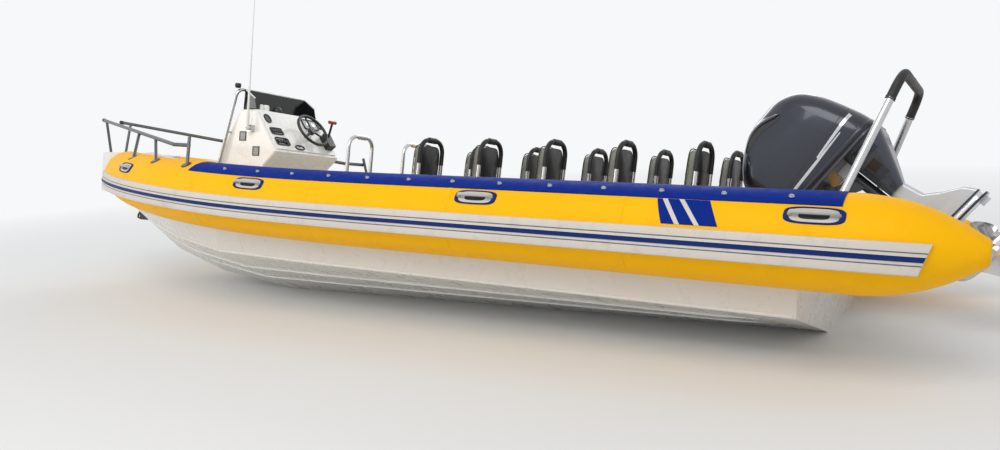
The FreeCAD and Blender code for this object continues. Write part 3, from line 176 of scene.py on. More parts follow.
finish("white", "white_plastic", "white_fibreglass", (232, 232, 230), 0.3, vary=(0.2, 2.5, 0.9), grain=(0.1, 400),
       stretch=(1, 1, 0.2))
finish("vinyl", "vinyl", "dark_seat_vinyl", (66, 70, 66), 0.46, vary=(0.4, 6, 0.75), grain=(0.7, 520),
       dirt=(120, 118, 108, 0.2), sheen=0.1)
finish("vinyl_side", "vinyl", "grey_seat_vinyl", (122, 126, 116), 0.5, vary=(0.35, 6, 0.8), grain=(0.7, 520),
       dirt=(150, 146, 132, 0.2), sheen=0.1)
finish("screen", "dark_pane", "dark_acrylic", (16, 17, 20), 0.16, vary=(0.2, 2.5, 0.7), coat=0.15, rough_vary=0.04)
finish("glass_face", "dark_pane", "gauge_glass", (14, 16, 20), 0.06, vary=(0.2, 2.5, 0.7), coat=0.8,
       rough_vary=0.03)
finish("engine", "engine_paint", "engine_blue_grey_metallic", (38, 43, 54), 0.3, 0.6, vary=(0.2, 3, 0.88),
       grain=(0.03, 900), coat=0.6, place=ENGINE, rough_vary=0.03)
finish("engine_grey", "engine_paint", "engine_lower_grey", (62, 67, 76), 0.38, 0.45, vary=(0.25, 4, 0.88),
       grain=(0.05, 900), coat=0.3, place=ENGINE, rough_vary=0.04)
finish("accent", "silver_paint", "engine_silver_accent", (200, 204, 208), 0.22, 0.85, vary=(0.25, 2.5, 0.85),
       grain=(0.08, 1500), coat=0.4, place=ENGINE)
finish("silver", "silver_paint", "engine_silver_paint", (200, 203, 207), 0.34, 0.45, vary=(0.25, 5, 0.88),
       grain=(0.05, 900), coat=0.3, place=ENGINE, rough_vary=0.04)
finish("prop", "stainless", "polished_propeller_steel", (214, 214, 214), 0.14, 1.0, vary=(0.3, 9, 0.8),
       grain=(0.05, 700), place=ENGINE)

# CAD nodes that stay in view
for key, names in {
        "gelcoat": "hull bulwark_port bulwark_starboard transom stern_platforms bow_deck bow_hatch_lid nose_cap",
        "cream": "console_shell seat_pods dash_panel",
        "steel": "mooring_cleats console_rail front_hoops seat_hoops light_frame transom_eyes antenna_mount tilt_rod",
        # bow rails take the steel with painted shade
        "rail": "bow_rails",
        "plastic": "bow_eye throttle_box compass steering_wheel engine_block",
        "screen": "windscreen",
        "white": "whip_antenna",
        "engine_grey": "clamp_bracket swivel_bracket tilt_ram lower_cowl",
        "silver": "midsection gearcase",
        "engine": "upper_cowl",
        "prop": "propeller"}.items():
    for name in names.split():
        mesh = frame["nodes"][name].data
        mesh.materials.clear()
        mesh.materials.append(M[key])


def stand(name, data):
    obj = bpy.data.objects.new(name, data)
    bpy.context.collection.objects.link(obj)
    return obj


# ---- mesh helpers; points are in the deck's frame unless place says otherwise ----
def piece(name, verts, faces, mats, body="boat", place=DECK, smooth=40, indices=(), bevel=0.0, replaces=()):
    """A mesh piece in the row frame, riding on a body."""
    mesh = bpy.data.meshes.new(name)
    mesh.from_pydata([place @ Vector(v) for v in verts], [], [list(f) for f in faces])
    mats = [mats] if isinstance(mats, str) else mats
    for key in mats:
        mesh.materials.append(M[key])
    for polygon, index in zip(mesh.polygons, indices):
        polygon.material_index = index
    bm = bmesh.new()
    bm.from_mesh(mesh)
    bmesh.ops.remove_doubles(bm, verts=bm.verts, dist=1e-6)
    bmesh.ops.recalc_face_normals(bm, faces=bm.faces)
    bm.to_mesh(mesh)
    bm.free()
    obj = stand(name, mesh)
    if bevel:
        mod = obj.modifiers.new("bevel", "BEVEL")
        mod.width, mod.segments, mod.limit_method, mod.angle_limit = bevel, 2, "ANGLE", radians(35)
    for polygon in mesh.polygons:
        polygon.use_smooth = True
    if smooth < 180:
        mesh.set_sharp_from_angle(angle=radians(smooth))
    if replaces:
        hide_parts(*replaces)
    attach(obj, body)
    return obj


def grid(rows, closed_rows=False, caps=False):
    """Faces through rows of as many points each."""
    n = len(rows[0])
    faces = []
    for i in range(len(rows) - 1):
        for j in range(n if closed_rows else n - 1):
            k = (j + 1) % n
            faces.append((i * n + j, i * n + k, (i + 1) * n + k, (i + 1) * n + j))
    if caps:
        faces.append(tuple(range(n))[::-1])
        faces.append(tuple((len(rows) - 1) * n + j for j in range(n)))
    return [p for row in rows for p in row], faces


def join(parts):
    """Several (verts, faces) as one."""
    verts, faces = [], []
    for v, f in parts:
        base = len(verts)
        verts += list(v)
        faces += [tuple(i + base for i in face) for face in f]
    return verts, faces


def around(sides):
    """Cosine and sine of evenly spaced angles."""
    return [(cos(2 * pi * k / sides), sin(2 * pi * k / sides)) for k in range(sides)]


def sweep(points, radius, sides=16, closed=False, radii=None):
    """A round bar along a path of points."""
    pts = [Vector(p) for p in points]
    rows = []
    normal = None
    count = len(pts)
    for i, p in enumerate(pts):
        a = pts[i - 1] if closed or i > 0 else p
        b = pts[(i + 1) % count] if closed or i < count - 1 else p
        along = (b - a).normalized()
        normal = normal or along.orthogonal().normalized()
        normal = (normal - along * normal.dot(along)).normalized()
        other = along.cross(normal)
        r = radii[i] if radii else radius
        rows.append([p + (normal * c + other * s) * r for c, s in around(sides)])
    return grid(rows + rows[:1] if closed else rows, True, not closed)


def bent(points, bend, steps=7):
    """Straight runs joined by arcs."""
    pts = [Vector(p) for p in points]
    out = [pts[0]]
    for a, b, c in zip(pts, pts[1:], pts[2:]):
        d1 = (b - a).normalized()
        d2 = (c - b).normalized()
        turn = d1.angle(d2)
        if turn < 1e-3:
            continue
        start = b - d1 * (bend * tan(turn / 2))
        centre = b + (d2 - d1).normalized() * (bend / cos(turn / 2))
        axis = d1.cross(d2).normalized()
        out += [centre + Matrix.Rotation(turn * k / steps, 3, axis) @ (start - centre) for k in range(steps + 1)]
    return out + [pts[-1]]


def disc(centre, axis, rings, sides=32):
    """A turned form: rings are (height along the axis, radius)."""
    axis = Vector(axis).normalized()
    u = axis.orthogonal().normalized()
    v = axis.cross(u)
    return grid([[Vector(centre) + axis * h + (u * c + v * s) * r for c, s in around(sides)] for h, r in rings],
                True, True)


def plate(corners, normal, thick):
    """A flat polygon with a thickness."""
    n = Vector(normal).normalized() * thick
    low = [Vector(c) for c in corners]
    k = len(low)
    faces = [tuple(range(k))[::-1], tuple(range(k, 2 * k))]
    faces += [(i, (i + 1) % k, k + (i + 1) % k, k + i) for i in range(k)]
    return low + [c + n for c in low], faces


def both(part):
    """A part with its mirror image on the other side of the boat."""
    verts, faces = part
    return join([part, ([(v[0], -v[1], v[2]) for v in verts], [tuple(reversed(f)) for f in faces])])


def span(a, b, step):
    n = max(1, int(ceil((b - a) / step)))
    return [a + (b - a) * i / n for i in range(n + 1)]


def signed_power(value, power):
    return copysign(abs(value) ** power, value)


def superloop(a, b, power, count=56):
    """Points round a rounded rectangle of half sizes a and b."""
    return [(a * signed_power(c, 2 / power), b * signed_power(s, 2 / power)) for c, s in around(count)]


def paired(name, verts, faces, mats, replaces=None, cut=False, **more):
    """The same piece on both sides; cut ends it at the boat's middle plane."""
    for suffix in ("_port", "_starboard"):
        nodes = (replaces + suffix,) if replaces else ()
        mesh = piece(name + suffix, verts, faces, mats, replaces=nodes, **more).data
        if cut:
            bm = bmesh.new()
            bm.from_mesh(mesh)
            bmesh.ops.bisect_plane(bm, geom=bm.verts[:] + bm.edges[:] + bm.faces[:], plane_co=DECK @ V(0, 0, 0),
                                   plane_no=DECK.to_3x3() @ V(0, 1, 0), clear_inner=True)
            bm.to_mesh(mesh)
            bm.free()
        if suffix == "_starboard":
            mesh.transform(MIRROR)
            mesh.flip_normals()


# ---- air tubes; s is the distance along a tube's centre, 0 at x = 0 ----
TUBE_R, TUBE_Y, TUBE_Z = 0.275, 1.100, 0.800
ARC_X, ARC_R = 4.268, 4.9379
BOW_RISE, BOW_TAPER = 0.220, 0.050
MEET = degrees(acos(1 - TUBE_Y / ARC_R))
PAST = MEET + 3.5
RISE_X = ARC_X * 0.68
# share of the arc, share of the rise, share of the taper
SHARES = [(0.0, 0.08, 0.02), (0.26, 0.28, 0.10), (0.52, 0.56, 0.26), (0.78, 0.86, 0.60), (1.0, 1.0, 1.0)]
KNOTS = [0.0] + [ARC_X - RISE_X + ARC_R * radians(PAST * share) for share, _, _ in SHARES]
S_END = RISE_X + KNOTS[-1]
S_MEET = ARC_X + ARC_R * radians(MEET)
CONE = [(0.0, 0.0), (0.32, 0.12), (0.64, 0.42), (0.88, 0.78), (1.0, 1.0)]
CONE_X, CONE_L, TIP_R = -0.350, 0.590, 0.072


def spline(xs, ys, x):
    """Natural cubic through the knots."""
    n = len(xs)
    h = [xs[i + 1] - xs[i] for i in range(n - 1)]
    a = [[0.0] * n for _ in range(n)]
    r = [0.0] * n
    a[0][0] = a[-1][-1] = 1.0
    for i in range(1, n - 1):
        a[i][i - 1], a[i][i], a[i][i + 1] = h[i - 1], 2 * (h[i - 1] + h[i]), h[i]
        r[i] = 6 * ((ys[i + 1] - ys[i]) / h[i] - (ys[i] - ys[i - 1]) / h[i - 1])
    for i in range(1, n):
        f = a[i][i - 1] / a[i - 1][i - 1]
        for j in range(n):
            a[i][j] -= f * a[i - 1][j]
        r[i] -= f * r[i - 1]
    m = [0.0] * n
    for i in range(n - 1, -1, -1):
        m[i] = (r[i] - sum(a[i][j] * m[j] for j in range(i + 1, n))) / a[i][i]
    i = max(0, min(n - 2, sum(1 for v in xs[1:-1] if x > v)))
    t0, t1 = xs[i + 1] - x, x - xs[i]
    return (m[i] * t0 ** 3 + m[i + 1] * t1 ** 3) / (6 * h[i]) + (ys[i] / h[i] - m[i] * h[i] / 6) * t0 \
        + (ys[i + 1] / h[i] - m[i + 1] * h[i] / 6) * t1


def tube_at(s):
    """Centre, outboard direction, forward direction and radius."""
    if s < RISE_X:
        r = TUBE_R
        if s < CONE_X:
            r -= (TUBE_R - TIP_R) * spline([c[0] for c in CONE], [c[1] for c in CONE], (CONE_X - s) / CONE_L)
        return V(s, TUBE_Y, TUBE_Z), V(0, 1, 0), V(1, 0, 0), r
    t = s - RISE_X
    rise = spline(KNOTS, [0.0] + [row[1] for row in SHARES], t) * BOW_RISE
    taper = max(spline(KNOTS, [0.0] + [row[2] for row in SHARES], t), 0.0) * BOW_TAPER
    arc = max(t - (ARC_X - RISE_X), 0.0) / ARC_R
    centre = V(min(s, ARC_X) + ARC_R * sin(arc), TUBE_Y - ARC_R * (1 - cos(arc)), TUBE_Z + rise)
    return centre, V(sin(arc), cos(arc), 0), V(cos(arc), -sin(arc), 0), TUBE_R - taper


def s_of_x(x):
    """Distance along the path at which the tube's centre reaches x."""
    return x if x <= ARC_X else ARC_X + ARC_R * asin((x - ARC_X) / ARC_R)


def away(out, angle):
    """The direction off the tube: 0 is its crown, 90 outboard."""
    a = radians(angle)
    return out * sin(a) + V(0, 0, cos(a))


def on_tube(s, angle, proud=0.0):
    c, out, fwd, r = tube_at(s)
    return c + away(out, angle) * (r + proud)


rows = [[on_tube(s, 5 * k) for k in range(72)] for s in
        span(CONE_X - CONE_L, CONE_X, 0.03) + span(CONE_X, RISE_X, 0.25)[1:] + span(RISE_X, S_END, 0.06)[1:]]
# the stern cone ends in a low dome
tip = rows[0]
c, out, fwd, r = tube_at(CONE_X - CONE_L)
for back, share in ((0.006, 0.93), (0.011, 0.75)):
    rows.insert(0, [c - fwd * back + (p - c) * share for p in tip])
paired("air_tube", *grid(rows, True, True), "yellow", replaces="tube", cut=True)

# Rubbing strake: one rubber profile of (reach, height, material), with a navy middle rib between two dark lines
HALF_PROFILE = [(-0.06, 0.083, 0), (0.012, 0.083, 0), (0.019, 0.079, 0), (0.022, 0.070, 0), (0.022, 0.038, 0),
                (0.018, 0.035, 1), (0.018, 0.030, 1), (0.022, 0.027, 0), (0.022, 0.018, 0), (0.026, 0.014, 2)]
PROFILE = HALF_PROFILE + [(reach, -high, m) for reach, high, m in reversed(HALF_PROFILE)]
STRAKE_AFT, STRAKE_DROP, SLANT = -0.675, 0.055, 0.36
NOSE_S = S_MEET - 0.155
rows = []
for s in span(STRAKE_AFT, CONE_X, 0.04) + span(CONE_X, RISE_X, 0.3)[1:] + span(RISE_X, NOSE_S, 0.06)[1:]:
    row = []
    for reach, high, m in PROFILE:
        c, out, fwd, r = tube_at(s if rows else s - SLANT * high)
        row.append(c + out * (r + reach) + V(0, 0, high - STRAKE_DROP))
    rows.append(row)
indices = [a[2] if a[2] == b[2] else 0 for a, b in zip(PROFILE, PROFILE[1:])] * (len(rows) - 1) + [0, 0]
paired("rubbing_strake", *grid(rows, False, True), ["grey", "line", "navy"], indices=indices, smooth=35,
       replaces="rubbing_strake")

# Blue wear strip over the crown, with taped edges
STRIP_AFT, STRIP_FORE = -0.270, 4.85
STRIP = [(-16.5, 0.0005), (-16, 0.005)] + [(a, 0.006) for a in (-8, 4, 16, 28, 38)] + [(45.5, 0.005), (46, 0.0005)]
rows = [[on_tube(s, a, t) for a, t in STRIP] for s in
        span(STRIP_AFT, RISE_X, 0.3) + span(RISE_X, s_of_x(STRIP_FORE), 0.08)[1:]]
paired("wear_strip", *grid(rows), "blue", smooth=60, replaces="top_strip")

# Small grey fittings along the wear strip
FITTING_FIRST, FITTING_PITCH, FITTINGS, FITTING_ANGLE = 4.440, 0.370, 13, 33
parts = []
for k in range(FITTINGS):
    c, out, fwd, r = tube_at(s_of_x(FITTING_FIRST - FITTING_PITCH * k))
    normal = away(out, FITTING_ANGLE)
    across = fwd.cross(normal)
    base = c + normal * (r + 0.005)
    parts.append(plate([base + fwd * (0.016 * p) + across * (0.012 * q) for p, q in around(16)], normal, 0.005))
    hoop = ((-0.012, 0.004), (-0.009, 0.013), (0.009, 0.013), (0.012, 0.004))
    parts.append(sweep([base + fwd * f + normal * h for f, h in hoop], 0.003, 8))
paired("strip_fittings", *join(parts), "grey_plastic")

# Tube handles: a moulded pad with a raised rim, a recess and a grip over it; the recess's middle under the grip is
# black, painted shade
HANDLE_X, HANDLE_ANGLE = (5.950, 4.075, 1.977, -0.139), 60
RIM = ((1.0, 0.0), (0.98, 0.006), (0.92, 0.010), (0.84, 0.010), (0.80, 0.004), (0.5, 0.004), (0.02, 0.004))
pads, grips = [], []
for x in HANDLE_X:
    def at(along, arc, lift):
        c, out, fwd, r = tube_at(s_of_x(x) + along)
        return c + away(out, HANDLE_ANGLE + degrees(arc / r)) * (r + lift)

    pads.append(grid([[at(0.160 * scale * signed_power(p, 0.55), 0.052 * scale * signed_power(q, 0.55), lift)
                       for p, q in around(32)] for scale, lift in RIM], True, True))
    ends = [at(-0.128, 0, 0.002), at(-0.114, 0, 0.034), at(0.114, 0, 0.034), at(0.128, 0, 0.002)]
    grips.append(sweep(bent(ends, 0.018), 0.0125, 12))
# rim navy, field grey, and the middle black as painted shade under the grip
pad_index = ([0] * 128 + [1] * 32 + [2] * 32 + [0, 2]) * 2 * len(HANDLE_X)
piece("handle_pads", *both(join(pads)), ["navy", "grey", "plastic"], indices=pad_index, replaces=("tube_handles",))
piece("handle_grips", *both(join(grips)), "grey_plastic", smooth=60)

# Panel seams round the tubes
SEAM = ((-0.020, 0.0), (-0.019, 0.0012), (0.019, 0.0012), (0.020, 0.0))
parts = [grid([[on_tube(s_of_x(x) + d, -150 + 5 * k, t) for k in range(61)] for d, t in SEAM])
         for x in (0.95, 2.20, 3.45, 4.70, 5.90, 6.85)]
paired("tube_seams", *join(parts), "yellow", smooth=60)


# Slanted decorative stripes aft, on the tube's outer side above the strake
def patch(low, high, proud, steps=14):
    """A field laid on the tube; low and high are its x from aft to fore at the stripes' two edges."""
    rows = []
    for i in range(steps + 1):
        v = i / steps
        aft, fore = [a * (1 - v) + b * v for a, b in zip(low, high)]
        angle = STRIPE_LOW * (1 - v) + STRIPE_HIGH * v
        rows.append([on_tube(aft + (fore - aft) * j / steps, angle, proud) for j in range(steps + 1)])
    return grid(rows)


STRIPE_LOW, STRIPE_HIGH, BAR_WIDTH = 80.5, 46.6, 0.030
paired("side_stripe_field", *patch((0.360, 0.689), (0.432, 0.745), 0.0018), "blue", smooth=60)
bars = [patch((low, low + BAR_WIDTH), (high, high + BAR_WIDTH), 0.0026)
        for low, high in ((0.578, 0.683), (0.463, 0.583))]
paired("side_stripe_bars", *join(bars), "grey", smooth=60)

# Air valves on the inner shoulders
VALVE_X, VALVE_ANGLE = (0.35, 3.9, 6.2), -42
parts = []
for x in VALVE_X:
    c, out, fwd, r = tube_at(s_of_x(x))
    n = away(out, VALVE_ANGLE)
    parts.append(disc(c + n * (r - 0.002), n, [(0, 0.030), (0.006, 0.030), (0.008, 0.027), (0.008, 0.018),
                                               (0.012, 0.017), (0.014, 0.012), (0.014, 0.001)], 24))
paired("air_valves", *join(parts), "plastic")

# ---- hull: bright strakes on the bottom and a lip along the chine ----
CHINE_Y, CHINE_Z, STEM_Z = 0.950, 0.345, 0.690
BOW_START, BOW_LENGTH = 3.900, 3.450
# x, the keel's height, the chine's half width and its height
HULL = [(0.0, 0.190, CHINE_Y, CHINE_Z), (BOW_START, 0.0388, CHINE_Y, CHINE_Z)]
for share, rise, wide, high in ((0.29, 0.0, 0.916, 0.007), (0.55, 0.122, 0.63, 0.072), (0.753, 0.37, 0.345, 0.160),
                                (0.9, 0.74, 0.094, 0.235), (1.0, 1.0, 0.016, 0.355)):
    HULL.append((BOW_START + BOW_LENGTH * share, STEM_Z * rise, CHINE_Y * wide, CHINE_Z + high))


def on_hull(x, share):
    """A point on the bottom: share 0 at the keel, 1 at the chine."""
    a, b = next((a, b) for a, b in zip(HULL, HULL[1:]) if x <= b[0])
    t = (x - a[0]) / (b[0] - a[0])
    keel, wide, high = [a[i] + (b[i] - a[i]) * t for i in (1, 2, 3)]
    return V(x, wide * share, keel + (high - keel) * share)


def rail(x0, x1, share0, share1, wide, drop):
    """A wedge along the bottom, faded out at both ends."""
    rows = []
    for x in span(x0, x1, 0.12):
        fade = min(1.0, (x1 - x) / 0.5 + 0.05, (x - x0) / 0.25 + 0.05)
        share = share0 + (share1 - share0) * (x - x0) / (x1 - x0)
        p = on_hull(x, share)
        q = on_hull(x, share * (1 - wide))
        n = V(0, q.z - p.z, p.y - q.y).normalized() * -1
        n = -n if n.z > 0 else n
        rows.append([q - n * 0.004, q + n * 0.001, p + n * drop * fade,
                     p + n * drop * 0.9 * fade + V(0, 0.004 * fade, 0), p + V(0, 0.004 * fade, 0.006), p - n * 0.006])
    return grid(rows, True, True)


parts = [rail(0.30, 6.35, 0.66, 0.62, 0.09, 0.012), rail(0.30, 5.9, 0.36, 0.34, 0.15, 0.010)]
paired("bottom_strakes", *join(parts), "white", smooth=25)
LIP = ((-0.02, -0.001), (0.001, 0.001), (0.009, 0.007), (0.011, 0.014), (0.008, 0.021), (0.002, 0.027),
       (-0.02, 0.027))
rows = [[on_hull(x, 1.0) + V(0, a, b) * min(1.0, (7.15 - x) / 0.8) for a, b in LIP] for x in span(0.02, 7.10, 0.1)]
paired("chine_bead", *grid(rows, True, True), "white")


# ---- seats ----
def pad_form(half, square, cap):
    """A stuffed pad round the origin, swollen by cloth pressure."""
    bm = bmesh.new()
    bmesh.ops.create_cube(bm, size=2.0)
    bmesh.ops.subdivide_edges(bm, edges=bm.edges[:], cuts=9, use_grid_fill=True)
    for v in bm.verts:
        p = v.co.copy()
        q = p / (abs(p.x) ** square + abs(p.y) ** square + abs(p.z) ** square) ** (1 / square)
        v.co = V(q.x * half[0], q.y * half[1], q.z * half[2])
    mesh = bpy.data.meshes.new("pad_form")
    bm.to_mesh(mesh)
    bm.free()
    obj = stand("pad_form", mesh)
    bpy.context.view_layer.objects.active = obj
    obj.select_set(True)
    remesh = obj.modifiers.new("remesh", "REMESH")
    remesh.mode = "VOXEL"
    remesh.voxel_size = 0.006
    bpy.ops.object.modifier_apply(modifier="remesh")
    start = [v.co.copy() for v in obj.data.vertices]
    cloth = obj.modifiers.new("cloth", "CLOTH")
    settings = cloth.settings
    settings.use_pressure, settings.uniform_pressure_force = True, 4.0
    settings.effector_weights.gravity = 0
    settings.tension_stiffness, settings.bending_stiffness = 25, 1.5
    for f in range(1, 21):
        bpy.context.scene.frame_set(f)
    deps = bpy.context.evaluated_depsgraph_get()
    moved = [v.co.copy() for v in obj.evaluated_get(deps).to_mesh().vertices]
    obj.evaluated_get(deps).to_mesh_clear()
    obj.modifiers.remove(cloth)
    for v, p, q in zip(obj.data.vertices, start, moved):
        step = q - p
        if step.length > 1e-9:
            step = step.normalized() * cap * (1 - exp(-step.length / cap))
        v.co = p + step
    bpy.context.scene.frame_set(1)
    verts = [v.co.copy() for v in obj.data.vertices]
    faces = [tuple(p.vertices) for p in obj.data.polygons]
    bpy.data.objects.remove(obj)
    bpy.data.meshes.remove(mesh)
    return verts, faces


def squeeze(verts, channels, depth, width, axis, face):
    """Presses sewn channels into one face of a pad; channels are positions along axis."""
    for v in verts:
        if v[face] > 0:
            d = sum(exp(-((v[axis] - c) / width) ** 2) for c in channels)
            v[face] -= depth * d * min(1.0, v[face] / 0.02)


def by_side(verts, faces, axis):
    """Material index 1 where a face looks away from the axis."""
    result = []
    for f in faces:
        n = (verts[f[1]] - verts[f[0]]).cross(verts[f[2]] - verts[f[1]])
        n = n.normalized() if n.length else V(0, 0, 1)
        result.append(1 if abs(n[axis]) < 0.55 else 0)
    return result


SEAT_ROWS, PITCH, FIRST, COLUMN = 5, 0.566, 3.092, 0.373
HOOP_TOP, HOOP_LEAN, HOOP_HALF, HOOP_BEND, HOOP_LOW = 1.385, 0.046, 0.150, 0.100, 0.580
WRAP_DROP, WRAP_R, GRIP_R = 0.190, 0.0178, 0.0238
BACK_LEAN = atan2(HOOP_LEAN, 0.820) * 1.25


def hoop_wrap(x, y):
    """A rubber wrap over a hoop's arch, thicker over its grip."""
    path = bent([(x, y - HOOP_HALF, HOOP_LOW), (x - HOOP_LEAN, y - HOOP_HALF, HOOP_TOP),
                 (x - HOOP_LEAN, y + HOOP_HALF, HOOP_TOP), (x, y + HOOP_HALF, HOOP_LOW)], HOOP_BEND, 10)
    arch = [p for p in path if p.z > HOOP_TOP - WRAP_DROP + 0.005]
    middle = [V(x - HOOP_LEAN, y + d, HOOP_TOP) for d in (-0.049, -0.047, 0.047, 0.049)]
    half = len(arch) // 2
    back = x - HOOP_LEAN * (HOOP_TOP - WRAP_DROP - HOOP_LOW) / (HOOP_TOP - HOOP_LOW)
    ends = [V(back, y + d, HOOP_TOP - WRAP_DROP) for d in (-HOOP_HALF, HOOP_HALF)]
    points = ends[:1] + arch[:half] + middle + arch[half:] + ends[1:]
    radii = [WRAP_R] * len(points)
    radii[half + 2] = radii[half + 3] = GRIP_R
    return sweep(points, WRAP_R, 14, radii=radii)


cushion_verts, cushion_faces = pad_form((0.158, 0.172, 0.046), 5.0, 0.010)
back_verts, back_faces = pad_form((0.036, 0.128, 0.184), 4.5, 0.009)
squeeze(cushion_verts, (-0.06, 0.05), 0.006, 0.007, 0, 2)
squeeze(back_verts, (-0.055, 0.065), 0.005, 0.006, 2, 0)
cushion_index = by_side(cushion_verts, cushion_faces, 2)
back_index = by_side(back_verts, back_faces, 0)
cushions, backs, piping, shells, wraps, plates = [], [], [], [], [], []
for number in range(SEAT_ROWS * 2):
    x, y = FIRST - PITCH * (number // 2), (-COLUMN if number % 2 else COLUMN)
    put = Matrix.Translation(V(x + 0.272, y, 1.0225))
    cushions.append(piece("seat_cushion_%d" % number, [put @ v for v in cushion_verts], cushion_faces,
                          ["vinyl", "vinyl_side"], indices=cushion_index, smooth=180))
    lean = Matrix.Translation(V(x - 0.004, y, 1.165)) @ Matrix.Rotation(-BACK_LEAN, 4, "Y")
    backs.append(piece("seat_back_%d" % number, [lean @ (v + V(0.022, 0, 0)) for v in back_verts], back_faces,
                       ["vinyl", "vinyl_side"], indices=back_index, smooth=180))
    for edge in ([put @ V(p, q, 0.030) for p, q in superloop(0.1635, 0.1765, 5.0)],
                 [lean @ V(0.044, p, q) for p, q in superloop(0.1285, 0.1845, 4.5)]):
        piping.append(sweep(edge, 0.004, 6, closed=True))
    # stiff back shell behind the pad
    shells.append(grid([[lean @ V(depth, p * scale, q * scale) for p, q in superloop(0.124, 0.178, 4.5)]
                        for scale, depth in ((1.0, -0.006), (1.0, -0.024), (0.94, -0.030), (0.02, -0.032))],
                       True, True))
    wraps.append(hoop_wrap(x, y))
    # vent plate on the pod's front
    plates.append(plate([(x + 0.4325, y - 0.11, 0.62), (x + 0.4325, y + 0.11, 0.62),
                         (x + 0.4335, y + 0.11, 0.88), (x + 0.4335, y - 0.11, 0.88)], (1, 0, 0.02), 0.004))
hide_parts("seat_cushions")
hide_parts("seat_backs")
piece("seat_piping", *join(piping), "black", smooth=60)
piece("seat_back_shells", *join(shells), "plastic")
piece("hoop_grips", *join(wraps), "black")
piece("pod_plates", *join(plates), "grey_plastic", smooth=30, bevel=0.0012)

# ---- console; the dash's own frame has its origin at the face's low aft edge ----
CONSOLE_TOP, TOP_FRONT, CONSOLE_HALF = 1.650, 5.230, 0.420
DASH_LOW = V(4.750, 0, 1.270)
DASH_UP = (V(5.030, 0, CONSOLE_TOP) - DASH_LOW).normalized()
DASH_OUT = V(-DASH_UP.z, 0, DASH_UP.x)


def on_dash(upward, y, out, points=((0, 0),)):
    """Points across and up the dash, round a place on it."""
    return [DASH_LOW + DASH_UP * (upward + q) + V(0, y + p, 0) + DASH_OUT * out for p, q in points]


frames, middles = [], []
for upward, y, a, b, power in (
        (0.365, 0.340, 0.040, 0.050, 2.2), (0.225, 0.300, 0.075, 0.040, 6), (0.110, 0.285, 0.085, 0.045, 6),
        (0.060, 0.090, 0.060, 0.028, 2.5), (0.357, -0.200, 0.102, 0.062, 8),
        (0.365, -0.350, 0.034, 0.036, 2.0), (0.240, -0.350, 0.030, 0.030, 2.0)):
    # a raised frame with a sunk middle; the starboard instrument has a thicker one
    out = 0.022 if power == 8 else 0.012
    frames.append(grid([on_dash(upward, y, out + lift, superloop(a - cut, b - cut, power, 40)) for cut, lift in
                        ((0, 0), (0, 0.008), (0.003, 0.010), (0.010, 0.010), (0.012, 0.004))], True))
    middles.append(plate(on_dash(upward, y, out, superloop(a - 0.011, b - 0.011, power, 40)), DASH_OUT, 0.004))
piece("dash_bezels", *join(frames), "plastic")
piece("dash_glass", *join(middles), "glass_face")
# rocker switches in two rows
parts = []
for count, upward, first, pitch, a, b, thick in ((5, 0.228, 0.245, 0.026, 0.009, 0.016, 0.009),
                                                 (4, 0.110, 0.235, 0.033, 0.011, 0.018, 0.010)):
    for k in range(count):
        corners = on_dash(upward, first + pitch * k, 0.016, [(-a, -b), (a, -b), (a, b), (-a, b)])
        parts.append(plate(corners, DASH_OUT, thick))
piece("dash_switches", *join(parts), "plastic", smooth=30, bevel=0.002)
parts = [disc(on_dash(0.357, -0.200 + d, 0.0265)[0], DASH_OUT,
              [(0, 0.024), (0.002, 0.024), (0.003, 0.021), (0.0015, 0.020), (0.0015, 0.001)], 28)
         for d in (-0.038, 0.038)]
piece("gauge_rings", *join(parts), "steel")

# square louvred plates on the console's sides
VENT_HALF = 0.043
vent_frames, slats = [], []
for x, z in ((5.178, 1.401), (4.997, 1.265)):
    def square(scale, y):
        h = VENT_HALF * scale
        return [V(x - h, y, z - h), V(x + h, y, z - h), V(x + h, y, z + h), V(x - h, y, z + h)]

    vent_frames.append(grid([square(scale, CONSOLE_HALF + h) for scale, h in
                             ((1.0, 0.0), (1.0, 0.005), (0.96, 0.007), (0.82, 0.007), (0.80, 0.003))], True))
    slats.append(plate(square(0.81, 0.4202), (0, 1, 0), 0.001))
    for k in range(4):
        low = z - 0.026 + 0.0175 * k
        slats.append(plate([(x - 0.034, 0.4210, low), (x + 0.034, 0.4210, low), (x + 0.034, 0.4255, low + 0.007),
                            (x - 0.034, 0.4255, low + 0.007)], (0, 0, 1), 0.002))
piece("console_vents", *both(join(vent_frames)), "plastic", smooth=30)
piece("console_vent_slats", *both(join(slats)), "grey_plastic", smooth=30)

# recess panel below the overhang, with its latch; its tan colour is painted shade warmed by painted bounce light
recess = plate([(4.9035, -0.36, 0.62), (4.9035, 0.36, 0.62), (4.9035, 0.36, 1.075), (4.9035, -0.36, 1.075)],
               (-1, 0, 0), 0.003)
piece("recess_panel", *recess, "tan", smooth=30, bevel=0.002)
latch = bent([(4.899, 0.05, 0.93), (4.876, 0.05, 0.93), (4.876, -0.05, 0.93), (4.899, -0.05, 0.93)], 0.01, 4)
piece("recess_latch", *sweep(latch, 0.005, 8), "steel", smooth=60)

# pale edge along the windscreen's top and a rubber foot along its base
SCREEN_X, SCREEN_HALF, SCREEN_HIGH = TOP_FRONT - 0.008, 0.389, 0.190
SCREEN_BACK = SCREEN_HIGH * tan(radians(3))


def screen_line(aft_x, aft_z, fore_x, fore_z):
    """Along one wing of the screen, across its front and back along the other wing."""
    ends = [(aft_x, aft_z), (fore_x, fore_z)]
    return bent([(x, SCREEN_HALF, z) for x, z in ends] + [(x, -SCREEN_HALF, z) for x, z in ends[::-1]], 0.02, 5)


